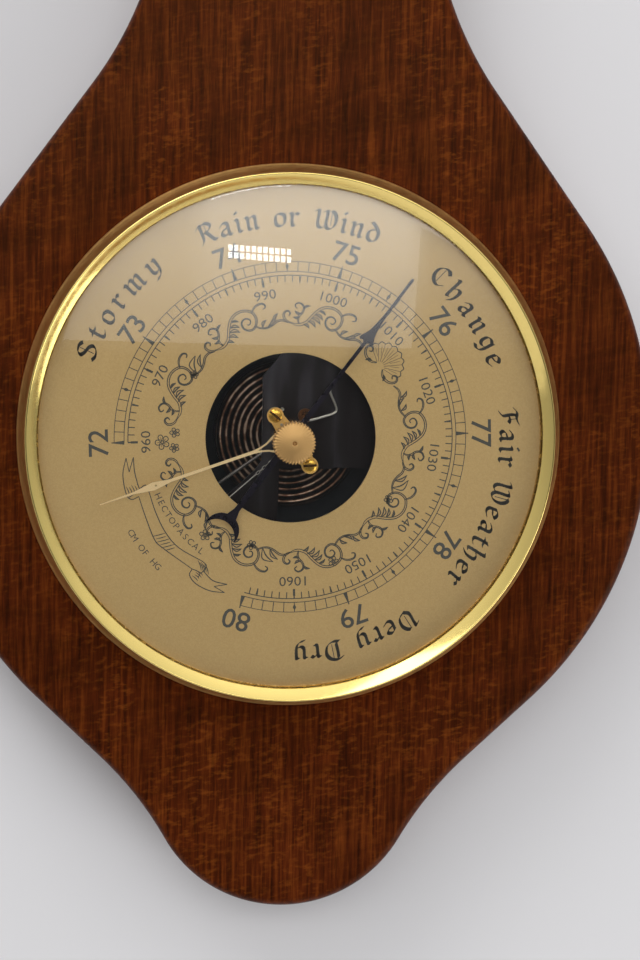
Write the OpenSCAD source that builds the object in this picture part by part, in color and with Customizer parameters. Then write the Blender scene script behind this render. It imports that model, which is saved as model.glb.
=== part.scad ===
// Wall barometer: a shaped wooden board carries a brass bezel with a domed glass, a
// printed dial with an open centre, and an aneroid movement in a can behind the dial.
// Frame: +Z up, the dial faces -Y, the board's back lies on the wall plane Y = 0, and the
// origin is the centre of the hanging eye. Most pieces are drawn in a bench frame that has
// its origin on the dial's axis at the board's front face: x right, y up, z to the front.

/* [Board] */
// Thickness of the wooden board
board_t = 24; // [22:0.5:32]
// Radius of the round that carries the dial
board_r = 101; // [97:0.5:108]
// Half the width of the neck
waist_half = 36.2; // [30:0.1:42]
// Radius of the hollow curve between round and neck
waist_r = 97.9; // [85:0.5:110]
// Length of the straight flank between round and neck
waist_flank = 44.9; // [35:0.1:55]
// Radius of the hollow curve below the round
lower_r = 101.5; // [90:0.5:110]
// Length of the straight flank below the round
lower_flank = 24.8; // [18:0.1:32]
// Radius of the round tip at the bottom
tip_r = 38; // [32:0.5:44]
// Distance from the dial's axis down to the bottom tip
tip_drop = 133; // [128:0.5:140]
// Radius of the round head at the top
head_r = 47; // [43:0.5:52]
// Distance from the dial's axis up to the head's centre
head_rise = 350; // [335:1:380]
// Radius of the hollow shoulder between neck and head
shoulder_r = 45; // [35:0.5:50]
// Radius of the rounded front edge
edge_r = 2.6; // [1.5:0.1:4]

/* [Hanging plate] */
// Thickness of the brass plate let into the back
hang_t = 1.6; // [1.2:0.1:2.4]
// Radius of the hole in the eye
eye_hole_r = 3; // [2:0.1:4]
// Outer radius of the eye and half the plate's width
eye_r = 8; // [6.5:0.1:10]
// Length of the plate below the eye's centre
hang_len = 52; // [44:1:60]
// Distance between its screws
hang_screw_pitch = 14; // [11:0.5:16]
// Shank radius of its screws
hang_screw_r = 1.5; // [1.2:0.1:2]
// Length of its screws
hang_screw_len = 12; // [9:0.5:15]

/* [Case] */
// Outer radius of the drawn can
can_r = 57; // [55:0.5:59]
// Sheet thickness of the can
can_wall = 0.8; // [0.6:0.1:1.2]
// Air between the can's back and the wall
can_gap = 1.5; // [1.2:0.1:3]
// Clearance between the can and its hole in the wood
can_clear = 0.4; // [0.2:0.1:0.8]
// Radius of the circle of the can's wood screws
case_screw_circle = 61.9; // [61.5:0.1:62.5]
// Length of the can's wood screws
case_screw_len = 14; // [10:0.5:18]
// Shank radius of the small screws
small_screw_r = 1.4; // [1.1:0.05:1.6]

/* [Dial] */
// Radius of the dial plate
dial_r = 70; // [69.6:0.1:70.4]
// Thickness of the dial plate
dial_t = 0.8; // [0.6:0.1:1.2]
// Radius of the open centre
aperture_r = 23.4; // [22:0.1:24.5]
// Height of the seat ring between flange and dial
seat_h = 1.4; // [1.35:0.05:2]
// Width of the seat ring
seat_w = 4.5; // [3.5:0.1:4.8]

/* [Bezel and glass] */
// Outer radius of the bezel at the board
bezel_r = 75; // [74:0.1:77]
// Wall of the bezel at its foot
bezel_wall = 1.6; // [1.3:0.05:1.9]
// How far the ring's outer edge lies inside the foot
ring_inset = 2.8; // [2.4:0.1:3.4]
// Width of the bright ring
ring_w = 2.8; // [2.4:0.1:3.1]
// Drop of the bright ring from its outer to its inner edge
ring_drop = 2.5; // [2:0.1:3]
// Thickness of the lip over the glass
lip_t = 0.5; // [0.4:0.05:0.8]
// Height of the ring that parts glass and dial
spacer_h = 1.4; // [1.1:0.1:2.2]
// How far the edge of the glass lies inside the bezel's foot
glass_inset = 4.1; // [3.9:0.05:4.4]
// Thickness of the glass
glass_t = 1.6; // [1.4:0.1:2]
// Rise of the dome at the middle
glass_rise = 7; // [6.6:0.1:9]
// Radius of the hole in the glass
glass_hole_r = 2; // [1.7:0.05:2.3]

/* [Set hand] */
// Length of the set hand from its axis to its tip
set_len = 55.2; // [50:0.2:57]
// Sheet thickness of the set hand
set_t = 0.3; // [0.2:0.05:0.4]
// Angle of the set hand, clockwise from twelve
set_angle = 250.3; // [0:0.1:360]
// Radius of the spindle
spindle_r = 1; // [0.8:0.05:1.2]
// Radius of the knurled knob
knob_r = 5.85; // [5:0.05:7]
// Height of the knob
knob_h = 5.6; // [4.8:0.1:7]
// Number of grooves round the knob
knob_grooves = 40; // [30:1:60]
// Flange thickness of the bush in the glass
bush_flange = 0.8; // [0.6:0.1:1.2]

/* [Pointer] */
// Length of the pointer from its axis to its tip
pointer_len = 54.8; // [50:0.2:57]
// Sheet thickness of the pointer
pointer_t = 0.4; // [0.3:0.05:0.5]
// Angle of the pointer at rest, clockwise from twelve
pointer_angle = 36.4; // [0:0.1:60]
// Distance from the axis to the crescent's centre
crescent_at = 31.6; // [28:0.2:33]
// Outer radius of the crescent
crescent_r = 4.9; // [4:0.1:5.5]
// Radius of the pointer's arbor
arbor_r = 0.6; // [0.5:0.05:0.75]
// Gap between the dial and the pointer
pointer_gap = 1.8; // [1.7:0.1:2]

/* [Movement frame] */
// Radius of the base plate
base_r = 46; // [45:0.5:50]
// Thickness of the base plate
base_t = 1.6; // [1.2:0.1:2]
// Height of the spacers behind the base plate
base_gap = 2.3; // [2.25:0.05:3]
// Radius of the circle of the movement screws
move_screw_circle = 38; // [36:0.5:40]
// Thickness of the bridge plate
bridge_t = 1.5; // [1.2:0.1:1.8]
// Depth of the bridge's back behind the board's front
bridge_depth = 3.8; // [3.6:0.1:4]
// Radius of the bridge's pillars
pillar_r = 2.2; // [1.8:0.1:2.5]
// Angle of the arbor cock, counter-clockwise from the right
cock_angle = 125.6; // [115:0.2:135]
// Distance from the axis to the cock's upper screw
cock_reach_a = 7.5; // [7.2:0.1:9]
// Distance from the axis to the cock's lower screw
cock_reach_b = 9.2; // [7.5:0.1:10]
// Thickness of the cock
cock_t = 1.2; // [0.8:0.05:1.25]
// Half the width of the cock at its ends
cock_half = 2.3; // [2:0.1:2.6]

/* [Capsule] */
// Radius of the capsule
capsule_r = 20.5; // [19.5:0.1:21.2]
// Height of the capsule's drum
capsule_h = 7; // [6.5:0.1:7.4]
// Radius of the innermost ridge
ridge_first = 7; // [6.6:0.1:7.4]
// Distance from ridge to ridge
ridge_pitch = 1.76; // [1.6:0.02:1.85]
// Number of ridges
ridges = 7; // [5:1:7]
// Half the height of a ridge
ridge_amp = 0.45; // [0.3:0.05:0.55]
// Sheet thickness of the capsule
capsule_t = 0.4; // [0.3:0.05:0.5]

/* [Levers] */
// Depth of the mainspring's back behind the board's front
spring_depth = 6.6; // [6.55:0.05:7]
// Thickness of the mainspring
spring_t = 1; // [0.8:0.05:1.05]
// Distance from the axis to the line where the mainspring bends
spring_root = 27; // [26:0.2:30]
// Width of the clamp that holds the mainspring
clamp_w = 9; // [8:0.2:10]
// Direction of the chain, counter-clockwise from the right
chain_angle = 221.5; // [218:0.5:226]
// Distance from the axis to the rocking shaft
shaft_at = 33; // [32:0.2:35]
// Depth of the rocking shaft behind the board's front
shaft_depth = 13; // [12.5:0.1:13.5]
// Radius of the rocking shaft
shaft_r = 1; // [0.9:0.05:1.2]
// Radius of the drum that takes the chain
drum_r = 1.3; // [1.1:0.05:1.4]
// Length of the link arm on the rocking shaft
link_arm = 2.5; // [2.3:0.1:2.8]
// Radius of the link rod
link_r = 0.45; // [0.35:0.05:0.5]
// Radius of the regulating screw
reg_screw_r = 1.5; // [1.2:0.1:1.7]
// Distance from the axis to the regulating screw
reg_screw_at = 40.2; // [39.8:0.2:41.5]

/* [Hairspring] */
// Radius of the collet
collet_r = 1.3; // [1.2:0.05:1.4]
// Number of turns
hair_turns = 4; // [3:1:4]
// Distance from turn to turn
hair_pitch = 0.75; // [0.72:0.01:0.78]
// Radius of the wire
hair_wire_r = 0.14; // [0.1:0.01:0.15]

/* [Thermometer] */
// Distance from the dial's axis up to the middle of the plate
thermo_rise = 236; // [228:1:245]
// Height of the plate
thermo_h = 140; // [120:1:150]
// Width of the plate
thermo_w = 34; // [28:0.5:40]
// Thickness of the plate
thermo_t = 1.2; // [0.8:0.1:1.6]
// Radius of the glass tube
tube_r = 2.4; // [2:0.1:3]
// Radius of the bulb
bulb_r = 4; // [3.4:0.1:4.4]
// Bore radius of the tube
tube_bore = 0.85; // [0.6:0.05:1.1]
// Thickness of the bulb's wall
bulb_wall = 0.8; // [0.6:0.05:1]

/* [Hidden] */
$fn = 96;

// Running clearance between a shaft and its bearing, and between a pin and its seat
run = 0.05;
seat = 0.02;

// Board outline: arcs that meet in common tangents, worked out from the sizes above
waist_x = waist_half + waist_r;
waist_span = sqrt(pow(board_r + waist_r, 2) + pow(waist_flank, 2));
waist_y = sqrt(pow(waist_span, 2) - pow(waist_x, 2));
waist_turn = atan2(waist_y, waist_x) - acos((board_r + waist_r) / waist_span);
lower_span = sqrt(pow(board_r + lower_r, 2) + pow(lower_flank, 2));
tip_y = tip_drop - tip_r;
lower_y = (pow(lower_span, 2) - pow(lower_r + tip_r, 2) + pow(tip_y, 2)) / (2 * tip_y);
lower_x = sqrt(pow(lower_span, 2) - pow(lower_y, 2));
lower_turn = atan2(lower_y, lower_x) - acos((board_r + lower_r) / lower_span);
tip_turn = atan2(lower_y - tip_y, lower_x);
shoulder_x = waist_half + shoulder_r;
shoulder_turn = acos(shoulder_x / (head_r + shoulder_r));
shoulder_y = head_rise - (head_r + shoulder_r) * sin(shoulder_turn);
dial_drop = head_rise + head_r + eye_r;

// Heights in the bench frame, from the wall to the front
wall_z = -board_t;
can_back = wall_z + can_gap;
can_floor = can_back + can_wall;
base_back = can_floor + base_gap;
base_front = base_back + base_t;
capsule_back = base_front + 0.6;
capsule_rim = capsule_back + capsule_h;
capsule_mid = capsule_rim + ridge_amp + 2 * capsule_t;
spring_back = -spring_depth;
spring_front = spring_back + spring_t;
knife_h = 0.8;
bridge_back = -bridge_depth;
bridge_front = bridge_back + bridge_t;
flange_front = can_wall;
dial_back = flange_front + seat_h;
dial_front = dial_back + dial_t;
glass_seat = dial_front + spacer_h;
lip_back = glass_seat + glass_t;
ring_low = lip_back + lip_t;
ring_high = ring_low + ring_drop;
glass_top = lip_back + glass_rise;
glass_under = glass_top - glass_t;
pointer_z = dial_front + pointer_gap;
hub_back = pointer_z - 0.6;
cock_back = hub_back - 0.6 - 1.2;
cock_front = cock_back + cock_t;
arbor_end = pointer_z + pointer_t + 0.4;
set_z = arbor_end + 0.3;
nut_h = 0.9;
bush_front = glass_top + bush_flange;
knob_back = bush_front + 0.3;
knob_front = knob_back + knob_h;
hair_z = bridge_front + 1.5;
drum_back = hair_z + 1.1;
drum_front = drum_back + 1.4;
chain_z = (drum_back + drum_front) / 2;

// Radii of the pieces that fit into each other
ring_out = bezel_r - ring_inset;
ring_in = ring_out - ring_w;
bezel_in = bezel_r - bezel_wall;
glass_r = bezel_r - glass_inset;
flange_r = bezel_in - 0.4;
glass_room = glass_r + 0.3;
seat_in = dial_r - seat_w;
spacer_in = ring_in - 0.4;
wood_hole_r = can_r + can_clear;

// Places in the plane of the dial
pillar_spots = [[0.5, 26.8], [9.6, 26.4], [-17.4, -20.6], [-6.2, -26]];
cock_spots = [
    cock_reach_a * [cos(cock_angle), sin(cock_angle)],
    -cock_reach_b * [cos(cock_angle), sin(cock_angle)]
];
cock_pillar_r = 1.7;
along = [cos(chain_angle), sin(chain_angle)];
across = [along[1], -along[0]];
shaft_spot = shaft_at * along;
chain_r = 0.25;
chain_off = drum_r + chain_r + run;
chain_len = chain_z + shaft_depth;
crank_off = 4;
link_spot = shaft_spot + crank_off * across + link_arm * along;
lever_spot = [-5.6, -3.9];
spring_low = -9;
spring_high = 20;
spring_left = -6.8;
spring_mid = (spring_low + spring_high) / 2;
clamp_low = spring_low + 1;
clamp_high = spring_high - 1;
clamp_x = spring_root + clamp_w / 2;
clamp_ys = [clamp_low + 5, clamp_high - 5];
reg_spot = [reg_screw_at, spring_mid];
stud_neck_r = 1.3;
stud_hole_r = 1.8;
hair_start = collet_r + 0.55;
hair_end = hair_start + hair_turns * hair_pitch;
base_spots = [for (a = [60, 180, 300]) move_screw_circle * [cos(a), sin(a)]];
case_spots = [for (a = [90, 210, 330]) case_screw_circle * [cos(a), sin(a)]];

// Places up the neck
thermo_low = thermo_rise - thermo_h / 2;
thermo_high = thermo_rise + thermo_h / 2;
bulb_y = thermo_low + 20;
tube_top = thermo_high - 16;
tube_z = thermo_t + tube_r + 0.6;
spirit_top = bulb_y + (tube_top - bulb_y) * 0.55;
clip_ys = [bulb_y + 13, tube_top - 8];
thermo_screw_ys = [thermo_low + 6, thermo_high - 6];

// Points along an arc, from step number first on
function arc(c, r, a0, a1, n, first = 0) = [
    for (k = [first:n]) c + r * [cos(a0 + (a1 - a0) * k / n), sin(a0 + (a1 - a0) * k / n)]
];

// Right half of the board's outline from crest to tip, drawn in by i all round
function half_outline(i) = concat(
    arc([0, head_rise], head_r - i, 90, -shoulder_turn, 14),
    arc([shoulder_x, shoulder_y], shoulder_r + i, 180 - shoulder_turn, 180, 5, 1),
    arc([waist_x, waist_y], waist_r + i, 180, 180 + waist_turn, 9),
    arc([0, 0], board_r - i, waist_turn, -lower_turn, 24),
    arc([lower_x, -lower_y], lower_r + i, 180 - lower_turn, 180 - tip_turn, 5),
    arc([0, -tip_y], tip_r - i, -tip_turn, -90, 9, 1)
);
function outline(i) = let (h = half_outline(i), n = len(h)) concat(
    [for (k = [n - 1:-1:0]) h[k]], [for (k = [1:n - 2]) [-h[k][0], h[k][1]]]
);

// The bench frame: origin on the dial's axis at the board's front, z to the front
module bench() {
    translate([0, -board_t, -dial_drop]) rotate([90, 0, 0]) children();
}

// A flat piece from height z, t thick
module plate(z, t) {
    bench() translate([0, 0, z]) linear_extrude(t) children();
}

// A round bar or tube from z0 to z1 at a spot in the dial's plane
module bar(spot, r, z0, z1, hole = 0) {
    translate([spot[0], spot[1], z0]) difference() {
        cylinder(h = z1 - z0, r = r);
        if (hole > 0) translate([0, 0, -1]) cylinder(h = z1 - z0 + 2, r = hole);
    }
}

// A strip in the dial's plane between two spots, w wide
module strip(p, q, w) {
    d = q - p;
    translate(p) rotate(atan2(d[1], d[0])) translate([0, -w / 2]) square([norm(d), w]);
}

// A round rod between two points
module rod(p, q, r) {
    d = q - p;
    translate(p) rotate([0, acos(d[2] / norm(d)), atan2(d[1], d[0])])
        cylinder(h = norm(d), r = r, $fn = 32);
}

// A slotted screw: head on height z, shank going back from it
module slotted(spot, z, head_r, head_h, shank_r, shank_len, turn = 0) {
    difference() {
        union() {
            bar(spot, head_r, z, z + head_h);
            bar(spot, shank_r, z - shank_len, z + head_h / 2);
        }
        translate([spot[0], spot[1], z + head_h]) rotate(turn)
            cube([head_r * 3, head_r * 0.3, head_h * 0.9], center = true);
    }
}

// A closed tube swept along points of a flat curve, with n sides
function tangent(p, k) = let (
    a = p[max(k - 1, 0)], b = p[min(k + 1, len(p) - 1)], d = b - a
) d / norm(d);
module flat_tube(p, r, n) {
    points = [for (k = [0:len(p) - 1]) let (t = tangent(p, k)) for (s = [0:n - 1])
        [p[k][0] - t[1] * r * cos(360 * s / n), p[k][1] + t[0] * r * cos(360 * s / n),
         r * sin(360 * s / n)]];
    last = (len(p) - 1) * n;
    sides = [for (k = [0:len(p) - 2], s = [0:n - 1]) let (
            a = k * n + s, b = k * n + (s + 1) % n
        ) each [[a, a + n, b], [b, a + n, b + n]]];
    polyhedron(points, concat(
        sides, [[for (s = [0:n - 1]) s], [for (s = [n - 1:-1:0]) last + s]]));
}

// Hairspring curve: a straight start on the collet, even turns, a straight end
hair_steps = 24;
hair_tail = 1.5;
hair_curve = concat(
    [[collet_r + 0.03, 0], [collet_r + 0.3, 0]],
    [for (k = [1:hair_turns * hair_steps]) let (
            a = 360 * k / hair_steps, r = hair_start + hair_pitch * k / hair_steps
        ) r * [cos(a), sin(a)]],
    [[hair_end + 0.5, 0], [hair_end + hair_tail, 0]]
);
hair_gaps = [
    for (i = [2:len(hair_curve) - 1], j = [2:len(hair_curve) - 1])
        if (j > i + hair_steps / 2) norm(hair_curve[i] - hair_curve[j]) - 2 * hair_wire_r
];
echo(hairspring_least_gap = min(hair_gaps));
stud_tip_r = 0.5;
hair_turn = 41;
stud_tip = (hair_end + hair_tail + stud_tip_r + 0.05) * [cos(hair_turn), sin(hair_turn)];
stud_bend = [12.4, 7.2];
stud_foot = [10.6, 13];

// The board: a slab with its front edge rounded in steps
edge_steps = 4;
module board() {
    step = 90 / edge_steps;
    color("saddlebrown") bench() difference() {
        union() {
            translate([0, 0, wall_z]) linear_extrude(board_t - edge_r) polygon(outline(0));
            for (k = [1:edge_steps]) translate([0, 0, -edge_r - 1])
                linear_extrude(1 + edge_r * sin(step * k))
                    polygon(outline(edge_r * (1 - cos(step * (k - 0.5)))));
        }
        translate([0, 0, wall_z - 1]) cylinder(h = board_t + 2, r = wood_hole_r, $fn = 180);
        hang_shape(hang_t + 0.1, 0.15);
        for (k = [0:2]) translate([0, hang_screw_y(k), wall_z + hang_t])
            cylinder(h = hang_screw_len - hang_t + 0.2, r = hang_screw_r + seat);
        for (s = case_spots) bar(s, small_screw_r + seat, -case_screw_len, 1);
        for (y = thermo_screw_ys) bar([0, y], small_screw_r + seat, -10, 1);
    }
}

function hang_screw_y(k) = dial_drop - 18 - k * hang_screw_pitch;

// The hanging plate's outline, h high and grown by g for its recess in the wood
module hang_shape(h, g = 0) {
    translate([0, 0, wall_z - (g > 0 ? 1 : 0)]) linear_extrude(h + (g > 0 ? 1 : 0)) {
        translate([0, dial_drop]) circle(r = eye_r + g);
        translate([-eye_r - g, dial_drop - hang_len + eye_r]) square([2 * (eye_r + g), hang_len - eye_r]);
        translate([0, dial_drop - hang_len + eye_r]) circle(r = eye_r + g);
    }
}

module hanging_plate() {
    color("goldenrod") bench() difference() {
        hang_shape(hang_t);
        bar([0, dial_drop], eye_hole_r, wall_z - 1, wall_z + hang_t + 1);
        for (k = [0:2]) translate([0, hang_screw_y(k), wall_z - seat])
            cylinder(h = hang_t + 2 * seat, r1 = 2 * hang_screw_r + seat, r2 = hang_screw_r + seat);
    }
}

module hanging_screws() {
    color("khaki") bench() for (k = [0:2]) translate([0, hang_screw_y(k), wall_z]) difference() {
        union() {
            cylinder(h = hang_t, r1 = 2 * hang_screw_r - seat, r2 = hang_screw_r);
            cylinder(h = hang_screw_len - 3, r = hang_screw_r);
            translate([0, 0, hang_screw_len - 3]) cylinder(h = 3, r1 = hang_screw_r, r2 = 0.2);
        }
        cube([8, 0.8, 1.4], center = true);
    }
}

module case_can() {
    color("peru") bench() difference() {
        rotate_extrude($fn = 180) polygon([
            [0, can_back], [can_r, can_back], [can_r, 0], [flange_r, 0],
            [flange_r, flange_front], [can_r - can_wall, flange_front],
            [can_r - can_wall, can_floor], [0, can_floor]
        ]);
        for (s = case_spots) bar(s, small_screw_r + run, -1, 2);
        for (s = base_spots) bar(s, small_screw_r + run, can_back - 1, can_floor + 1);
        bar(reg_spot, 2.9, can_back - 1, can_floor + 1);
    }
}

module case_screws() {
    color("silver") bench() for (s = case_spots)
        slotted(s, flange_front, 2.4, min(seat_h - 0.2, 1.2), small_screw_r, case_screw_len, 25);
}

module dial_seat_ring() {
    color("darkgoldenrod") bench() translate([0, 0, flange_front]) difference() {
        cylinder(h = seat_h, r = dial_r, $fn = 180);
        translate([0, 0, -1]) cylinder(h = seat_h + 2, r = seat_in, $fn = 180);
    }
}

module dial_plate() {
    color("wheat") bench() translate([0, 0, dial_back]) difference() {
        cylinder(h = dial_t, r = dial_r, $fn = 180);
        translate([0, 0, -1]) cylinder(h = dial_t + 2, r = aperture_r, $fn = 128);
    }
}

module bezel() {
    wall_back = lip_back - 0.1;
    color("gold") bench() rotate_extrude($fn = 180) polygon(concat(
        [[bezel_in, 0], [bezel_r, 0], [bezel_r, 1.1], [bezel_r - 0.35, 1.5]],
        arc([bezel_r + 9, ring_high - 0.6], 9 + ring_inset - 0.35, 212, 180, 6),
        arc([ring_out, ring_high - 0.35], 0.35, 0, 135, 5),
        [[ring_in + 0.15, ring_low + 0.15], [ring_in, ring_low], [ring_in, lip_back],
         [glass_room, lip_back], [glass_room, wall_back], [glass_room + 0.1, glass_seat],
         [bezel_in, 1]]
    ));
}

module glass_spacer_ring() {
    color("darkkhaki") bench() translate([0, 0, dial_front]) difference() {
        cylinder(h = spacer_h, r = glass_r, $fn = 180);
        translate([0, 0, -1]) cylinder(h = spacer_h + 2, r = spacer_in, $fn = 180);
    }
}

// Height of a dome at radius r that rises h over radius edge
function dome(r, h, edge) = h * (1 - pow(min(r, edge) / edge, 2));

module domed_glass() {
    steps = 22;
    flat = ring_in - 0.1;
    radii = [for (k = [0:steps]) glass_hole_r + (flat - glass_hole_r) * k / steps];
    color("lightcyan", 0.35) bench() rotate_extrude($fn = 180) polygon(concat(
        [for (r = radii) [r, lip_back + dome(r, glass_rise, flat)]],
        [[glass_r, lip_back], [glass_r, glass_seat]],
        [for (k = [steps:-1:0]) [radii[k], glass_seat + dome(radii[k], glass_rise, flat)]]
    ));
}

module glass_bush() {
    color("goldenrod") bench() difference() {
        union() {
            bar([0, 0], 3.2, glass_top, bush_front);
            bar([0, 0], glass_hole_r - 0.1, glass_under - nut_h - 0.3, bush_front);
        }
        bar([0, 0], spindle_r + run, glass_under - 5, bush_front + 1);
    }
}

module bush_nut() {
    color("goldenrod") bench() difference() {
        translate([0, 0, glass_under - nut_h]) cylinder(h = nut_h - 0.02, r = 3, $fn = 6);
        bar([0, 0], glass_hole_r - 0.1 + seat, glass_under - 5, glass_top);
    }
}

// The knob: grooved all round, with a shallow cone and a dimple at the front
module set_knob() {
    step = 360 / knob_grooves;
    color("moccasin") bench() intersection() {
        rotate_extrude() polygon([
            [spindle_r + seat, knob_back], [knob_r - 1.5, knob_back],
            [knob_r, knob_back + 1.6], [knob_r, knob_back + 2.6],
            [knob_r - 0.9, knob_front - 1.1], [0.9, knob_front], [0, knob_front - 0.5],
            [0, knob_front - 1.4], [spindle_r + seat, knob_front - 1.4]
        ]);
        translate([0, 0, knob_back - 1]) linear_extrude(knob_h + 2) polygon([
            for (k = [0:knob_grooves - 1]) each [
                (knob_r + 0.02) * [cos(k * step), sin(k * step)],
                (knob_r - 0.38) * [cos((k + 0.5) * step), sin((k + 0.5) * step)]
            ]
        ]);
    }
}

module set_spindle() {
    color("goldenrod") bench() bar([0, 0], spindle_r, set_z + 0.2, knob_front - 1.5);
}

// Outline of the set hand, pointing up: forked root, lozenge with an eye, long tip
module set_shape() {
    half = [
        [0.45, 11], [0.4, 20], [0.38, 34.8], [1.1, 39.8], [0.95, 40.8], [0.3, 45.5],
        [0.22, 50], [0.1, set_len]
    ];
    difference() {
        union() {
            polygon(concat([[0.45, 9.6]], half, [for (k = [7:-1:0]) [-half[k][0], half[k][1]]],
                [[-0.45, 9.6]]));
            for (side = [0, 1]) mirror([side, 0]) polygon([
                [0, 11], [0.45, 11], [0.75, 8.6], [1.3, 6.8], [2.2, 5.3], [3.1, 3.4],
                [2.2, 2.4], [2, 4.2], [1.45, 5.4], [0.75, 6.9], [0.28, 8.6], [0, 9.6]
            ]);
            circle(r = 3.4);
        }
        circle(r = spindle_r + seat);
        translate([0, 39.1]) circle(r = 0.3, $fn = 16);
    }
}

module set_hand() {
    color("gold") {
        plate(set_z, set_t) rotate(-set_angle) set_shape();
        bench() bar([0, 0], 2.2, set_z + set_t - 0.1, glass_under - nut_h - 0.5, spindle_r + seat);
    }
}

// Outline of the pointer, pointing up: tip, barbed head, tapered shaft, crescent tail
module pointer_shape() {
    half = [
        [0.85, 0], [0.8, 8], [0.5, 20], [0.5, 33], [1, 33.5], [1.7, 33.1], [2.2, 33.5],
        [1.95, 34.4], [1.35, 35.6], [0.95, 37], [0.68, 39], [0.48, 41.5], [0.38, 45],
        [0.42, pointer_len - 0.4], [0.2, pointer_len]
    ];
    tail = [[0.85, 0], [0.95, -14], [0.72, -22], [0.8, -24.6], [1.6, -crescent_at + crescent_r - 0.6]];
    difference() {
        union() {
            polygon(concat(half, [for (k = [len(half) - 1:-1:0]) [-half[k][0], half[k][1]]]));
            polygon(concat([for (p = tail) [-p[0], p[1]]], [for (k = [4:-1:0]) tail[k]]));
            circle(r = 2.4);
            difference() {
                translate([0, -crescent_at]) circle(r = crescent_r);
                translate([0, -crescent_at - 2.3]) circle(r = crescent_r + 0.1);
            }
        }
        circle(r = arbor_r + seat);
    }
}

module pointer() {
    color("midnightblue") {
        plate(pointer_z, pointer_t) rotate(-pointer_angle) pointer_shape();
        bench() bar([0, 0], 1.5, hub_back, pointer_z + 0.1, arbor_r + seat);
    }
}

module pointer_arbor() {
    color("lightsteelblue") bench() {
        bar([0, 0], arbor_r, bridge_front + run, arbor_end);
        bar([0, 0], arbor_r - 0.2, bridge_back + 0.1, bridge_front + 1);
        bar([0, 0], drum_r, drum_back, drum_front);
        bar([0, 0], drum_r + 0.7, drum_back, drum_back + 0.35);
        bar([0, 0], drum_r + 0.7, drum_front - 0.35, drum_front);
    }
}

module hairspring_collet() {
    color("goldenrod") bench() bar([0, 0], collet_r, hair_z - 0.6, hair_z + 0.6, arbor_r + seat);
}

module hairspring() {
    color("steelblue") bench() translate([0, 0, hair_z]) rotate(hair_turn)
        flat_tube(hair_curve, hair_wire_r, 6);
}

// Bent steel wire that holds the hairspring's outer end
module hairspring_stud() {
    wire = [
        stud_tip, stud_bend - [1.2, 0.5], stud_bend, stud_bend + [-0.3, 1.2],
        stud_foot + [0.3, -1], stud_foot
    ];
    color("lightgray") bench() {
        bar(stud_foot, stud_tip_r + 0.15, bridge_front, hair_z + stud_tip_r + 0.1);
        translate([0, 0, hair_z]) flat_tube(wire, stud_tip_r, 12);
    }
}

module arbor_cock() {
    belly = 2.6;
    color("gold") plate(cock_back, cock_t) difference() {
        union() {
            rotate(cock_angle) polygon([
                [cock_reach_a, cock_half - 0.4], [0, belly], [-cock_reach_b, cock_half - 0.4],
                [-cock_reach_b, 0.4 - cock_half], [0, -belly], [cock_reach_a, 0.4 - cock_half]
            ]);
            for (s = cock_spots) translate(s) circle(r = cock_half);
        }
        circle(r = arbor_r + run);
        for (s = cock_spots) translate(s) circle(r = 0.8 + run);
        for (s = cock_pin_spots) translate(s) circle(r = 0.4 + seat, $fn = 32);
    }
}

cock_pin_spots = [for (s = cock_spots) s * (1 - 3 / norm(s))];

module cock_pillars() {
    color("goldenrod") bench() for (s = cock_spots)
        bar(s, cock_pillar_r, bridge_front, cock_back, 0.8 + seat);
}

module cock_screws() {
    color("khaki") bench() for (k = [0:1])
        slotted(cock_spots[k], cock_front, 1.6, 0.55, 0.8, 5, 35 - 30 * k);
}

module cock_pins() {
    color("whitesmoke") bench() for (s = cock_pin_spots)
        bar(s, 0.4, cock_back - 0.3, cock_front + 0.25);
}

// A small pin on the bridge that keeps the hairspring from leaving its plane
module guide_pin() {
    color("whitesmoke") bench() bar(guide_spot, 0.4, bridge_back, hair_z + 1.4);
}

// The bridge: a wide plate from its upper foot over the capsule to its lower left foot
module bridge_plate() {
    pad = pillar_r + 1;
    half = pad - 0.4;
    foot = pillar_spots[3];
    toe = pillar_spots[2];
    color("dimgray") plate(bridge_back, bridge_t) difference() {
        union() {
            polygon([
                [-9.4, -9.6], [toe[0] - half, toe[1] + 1], [toe[0], toe[1] - half],
                [foot[0], foot[1] - half], [foot[0] + half, foot[1]], [-2.7, -16],
                [-2.7, spring_low], [pillar_spots[1][0] + half, spring_low],
                [pillar_spots[1][0] + half, pillar_spots[1][1] + half],
                [pillar_spots[0][0] - half, pillar_spots[0][1] + half],
                [pillar_spots[0][0] - half, 23], [-7.6, 16.5], [-7.6, -7]
            ]);
            for (s = pillar_spots) translate(s) circle(r = pad);
        }
        circle(r = arbor_r - 0.2 + run);
        for (s = pillar_spots) translate(s) circle(r = small_screw_r + run);
        for (s = cock_spots) translate(s) circle(r = 0.8 + seat);
        translate(rivet_spot) circle(r = 0.8 + seat);
        translate(guide_spot) circle(r = 0.4 + seat, $fn = 32);
    }
}

rivet_spot = [4.2, 5.8];
guide_spot = [-2.2, 7.6];

module bridge_pillars() {
    color("gray") bench() for (s = pillar_spots)
        bar(s, pillar_r, base_front, bridge_back, small_screw_r + seat);
}

module bridge_screws() {
    color("silver") bench() for (s = pillar_spots)
        slotted(s, bridge_front, 2.3, 1, small_screw_r, 7, 50);
}

module bridge_rivet() {
    color("chocolate") bench() {
        bar(rivet_spot, 2, bridge_front, bridge_front + 0.7);
        bar(rivet_spot, 0.8, bridge_back, bridge_front + 0.3);
    }
}

module base_plate() {
    color("darkslategray") plate(base_back, base_t) difference() {
        circle(r = base_r, $fn = 128);
        circle(r = 2.5 + seat);
        for (s = base_spots) translate(s) circle(r = small_screw_r + seat);
        translate(reg_spot) circle(r = 2.6 + seat);
    }
}

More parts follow.
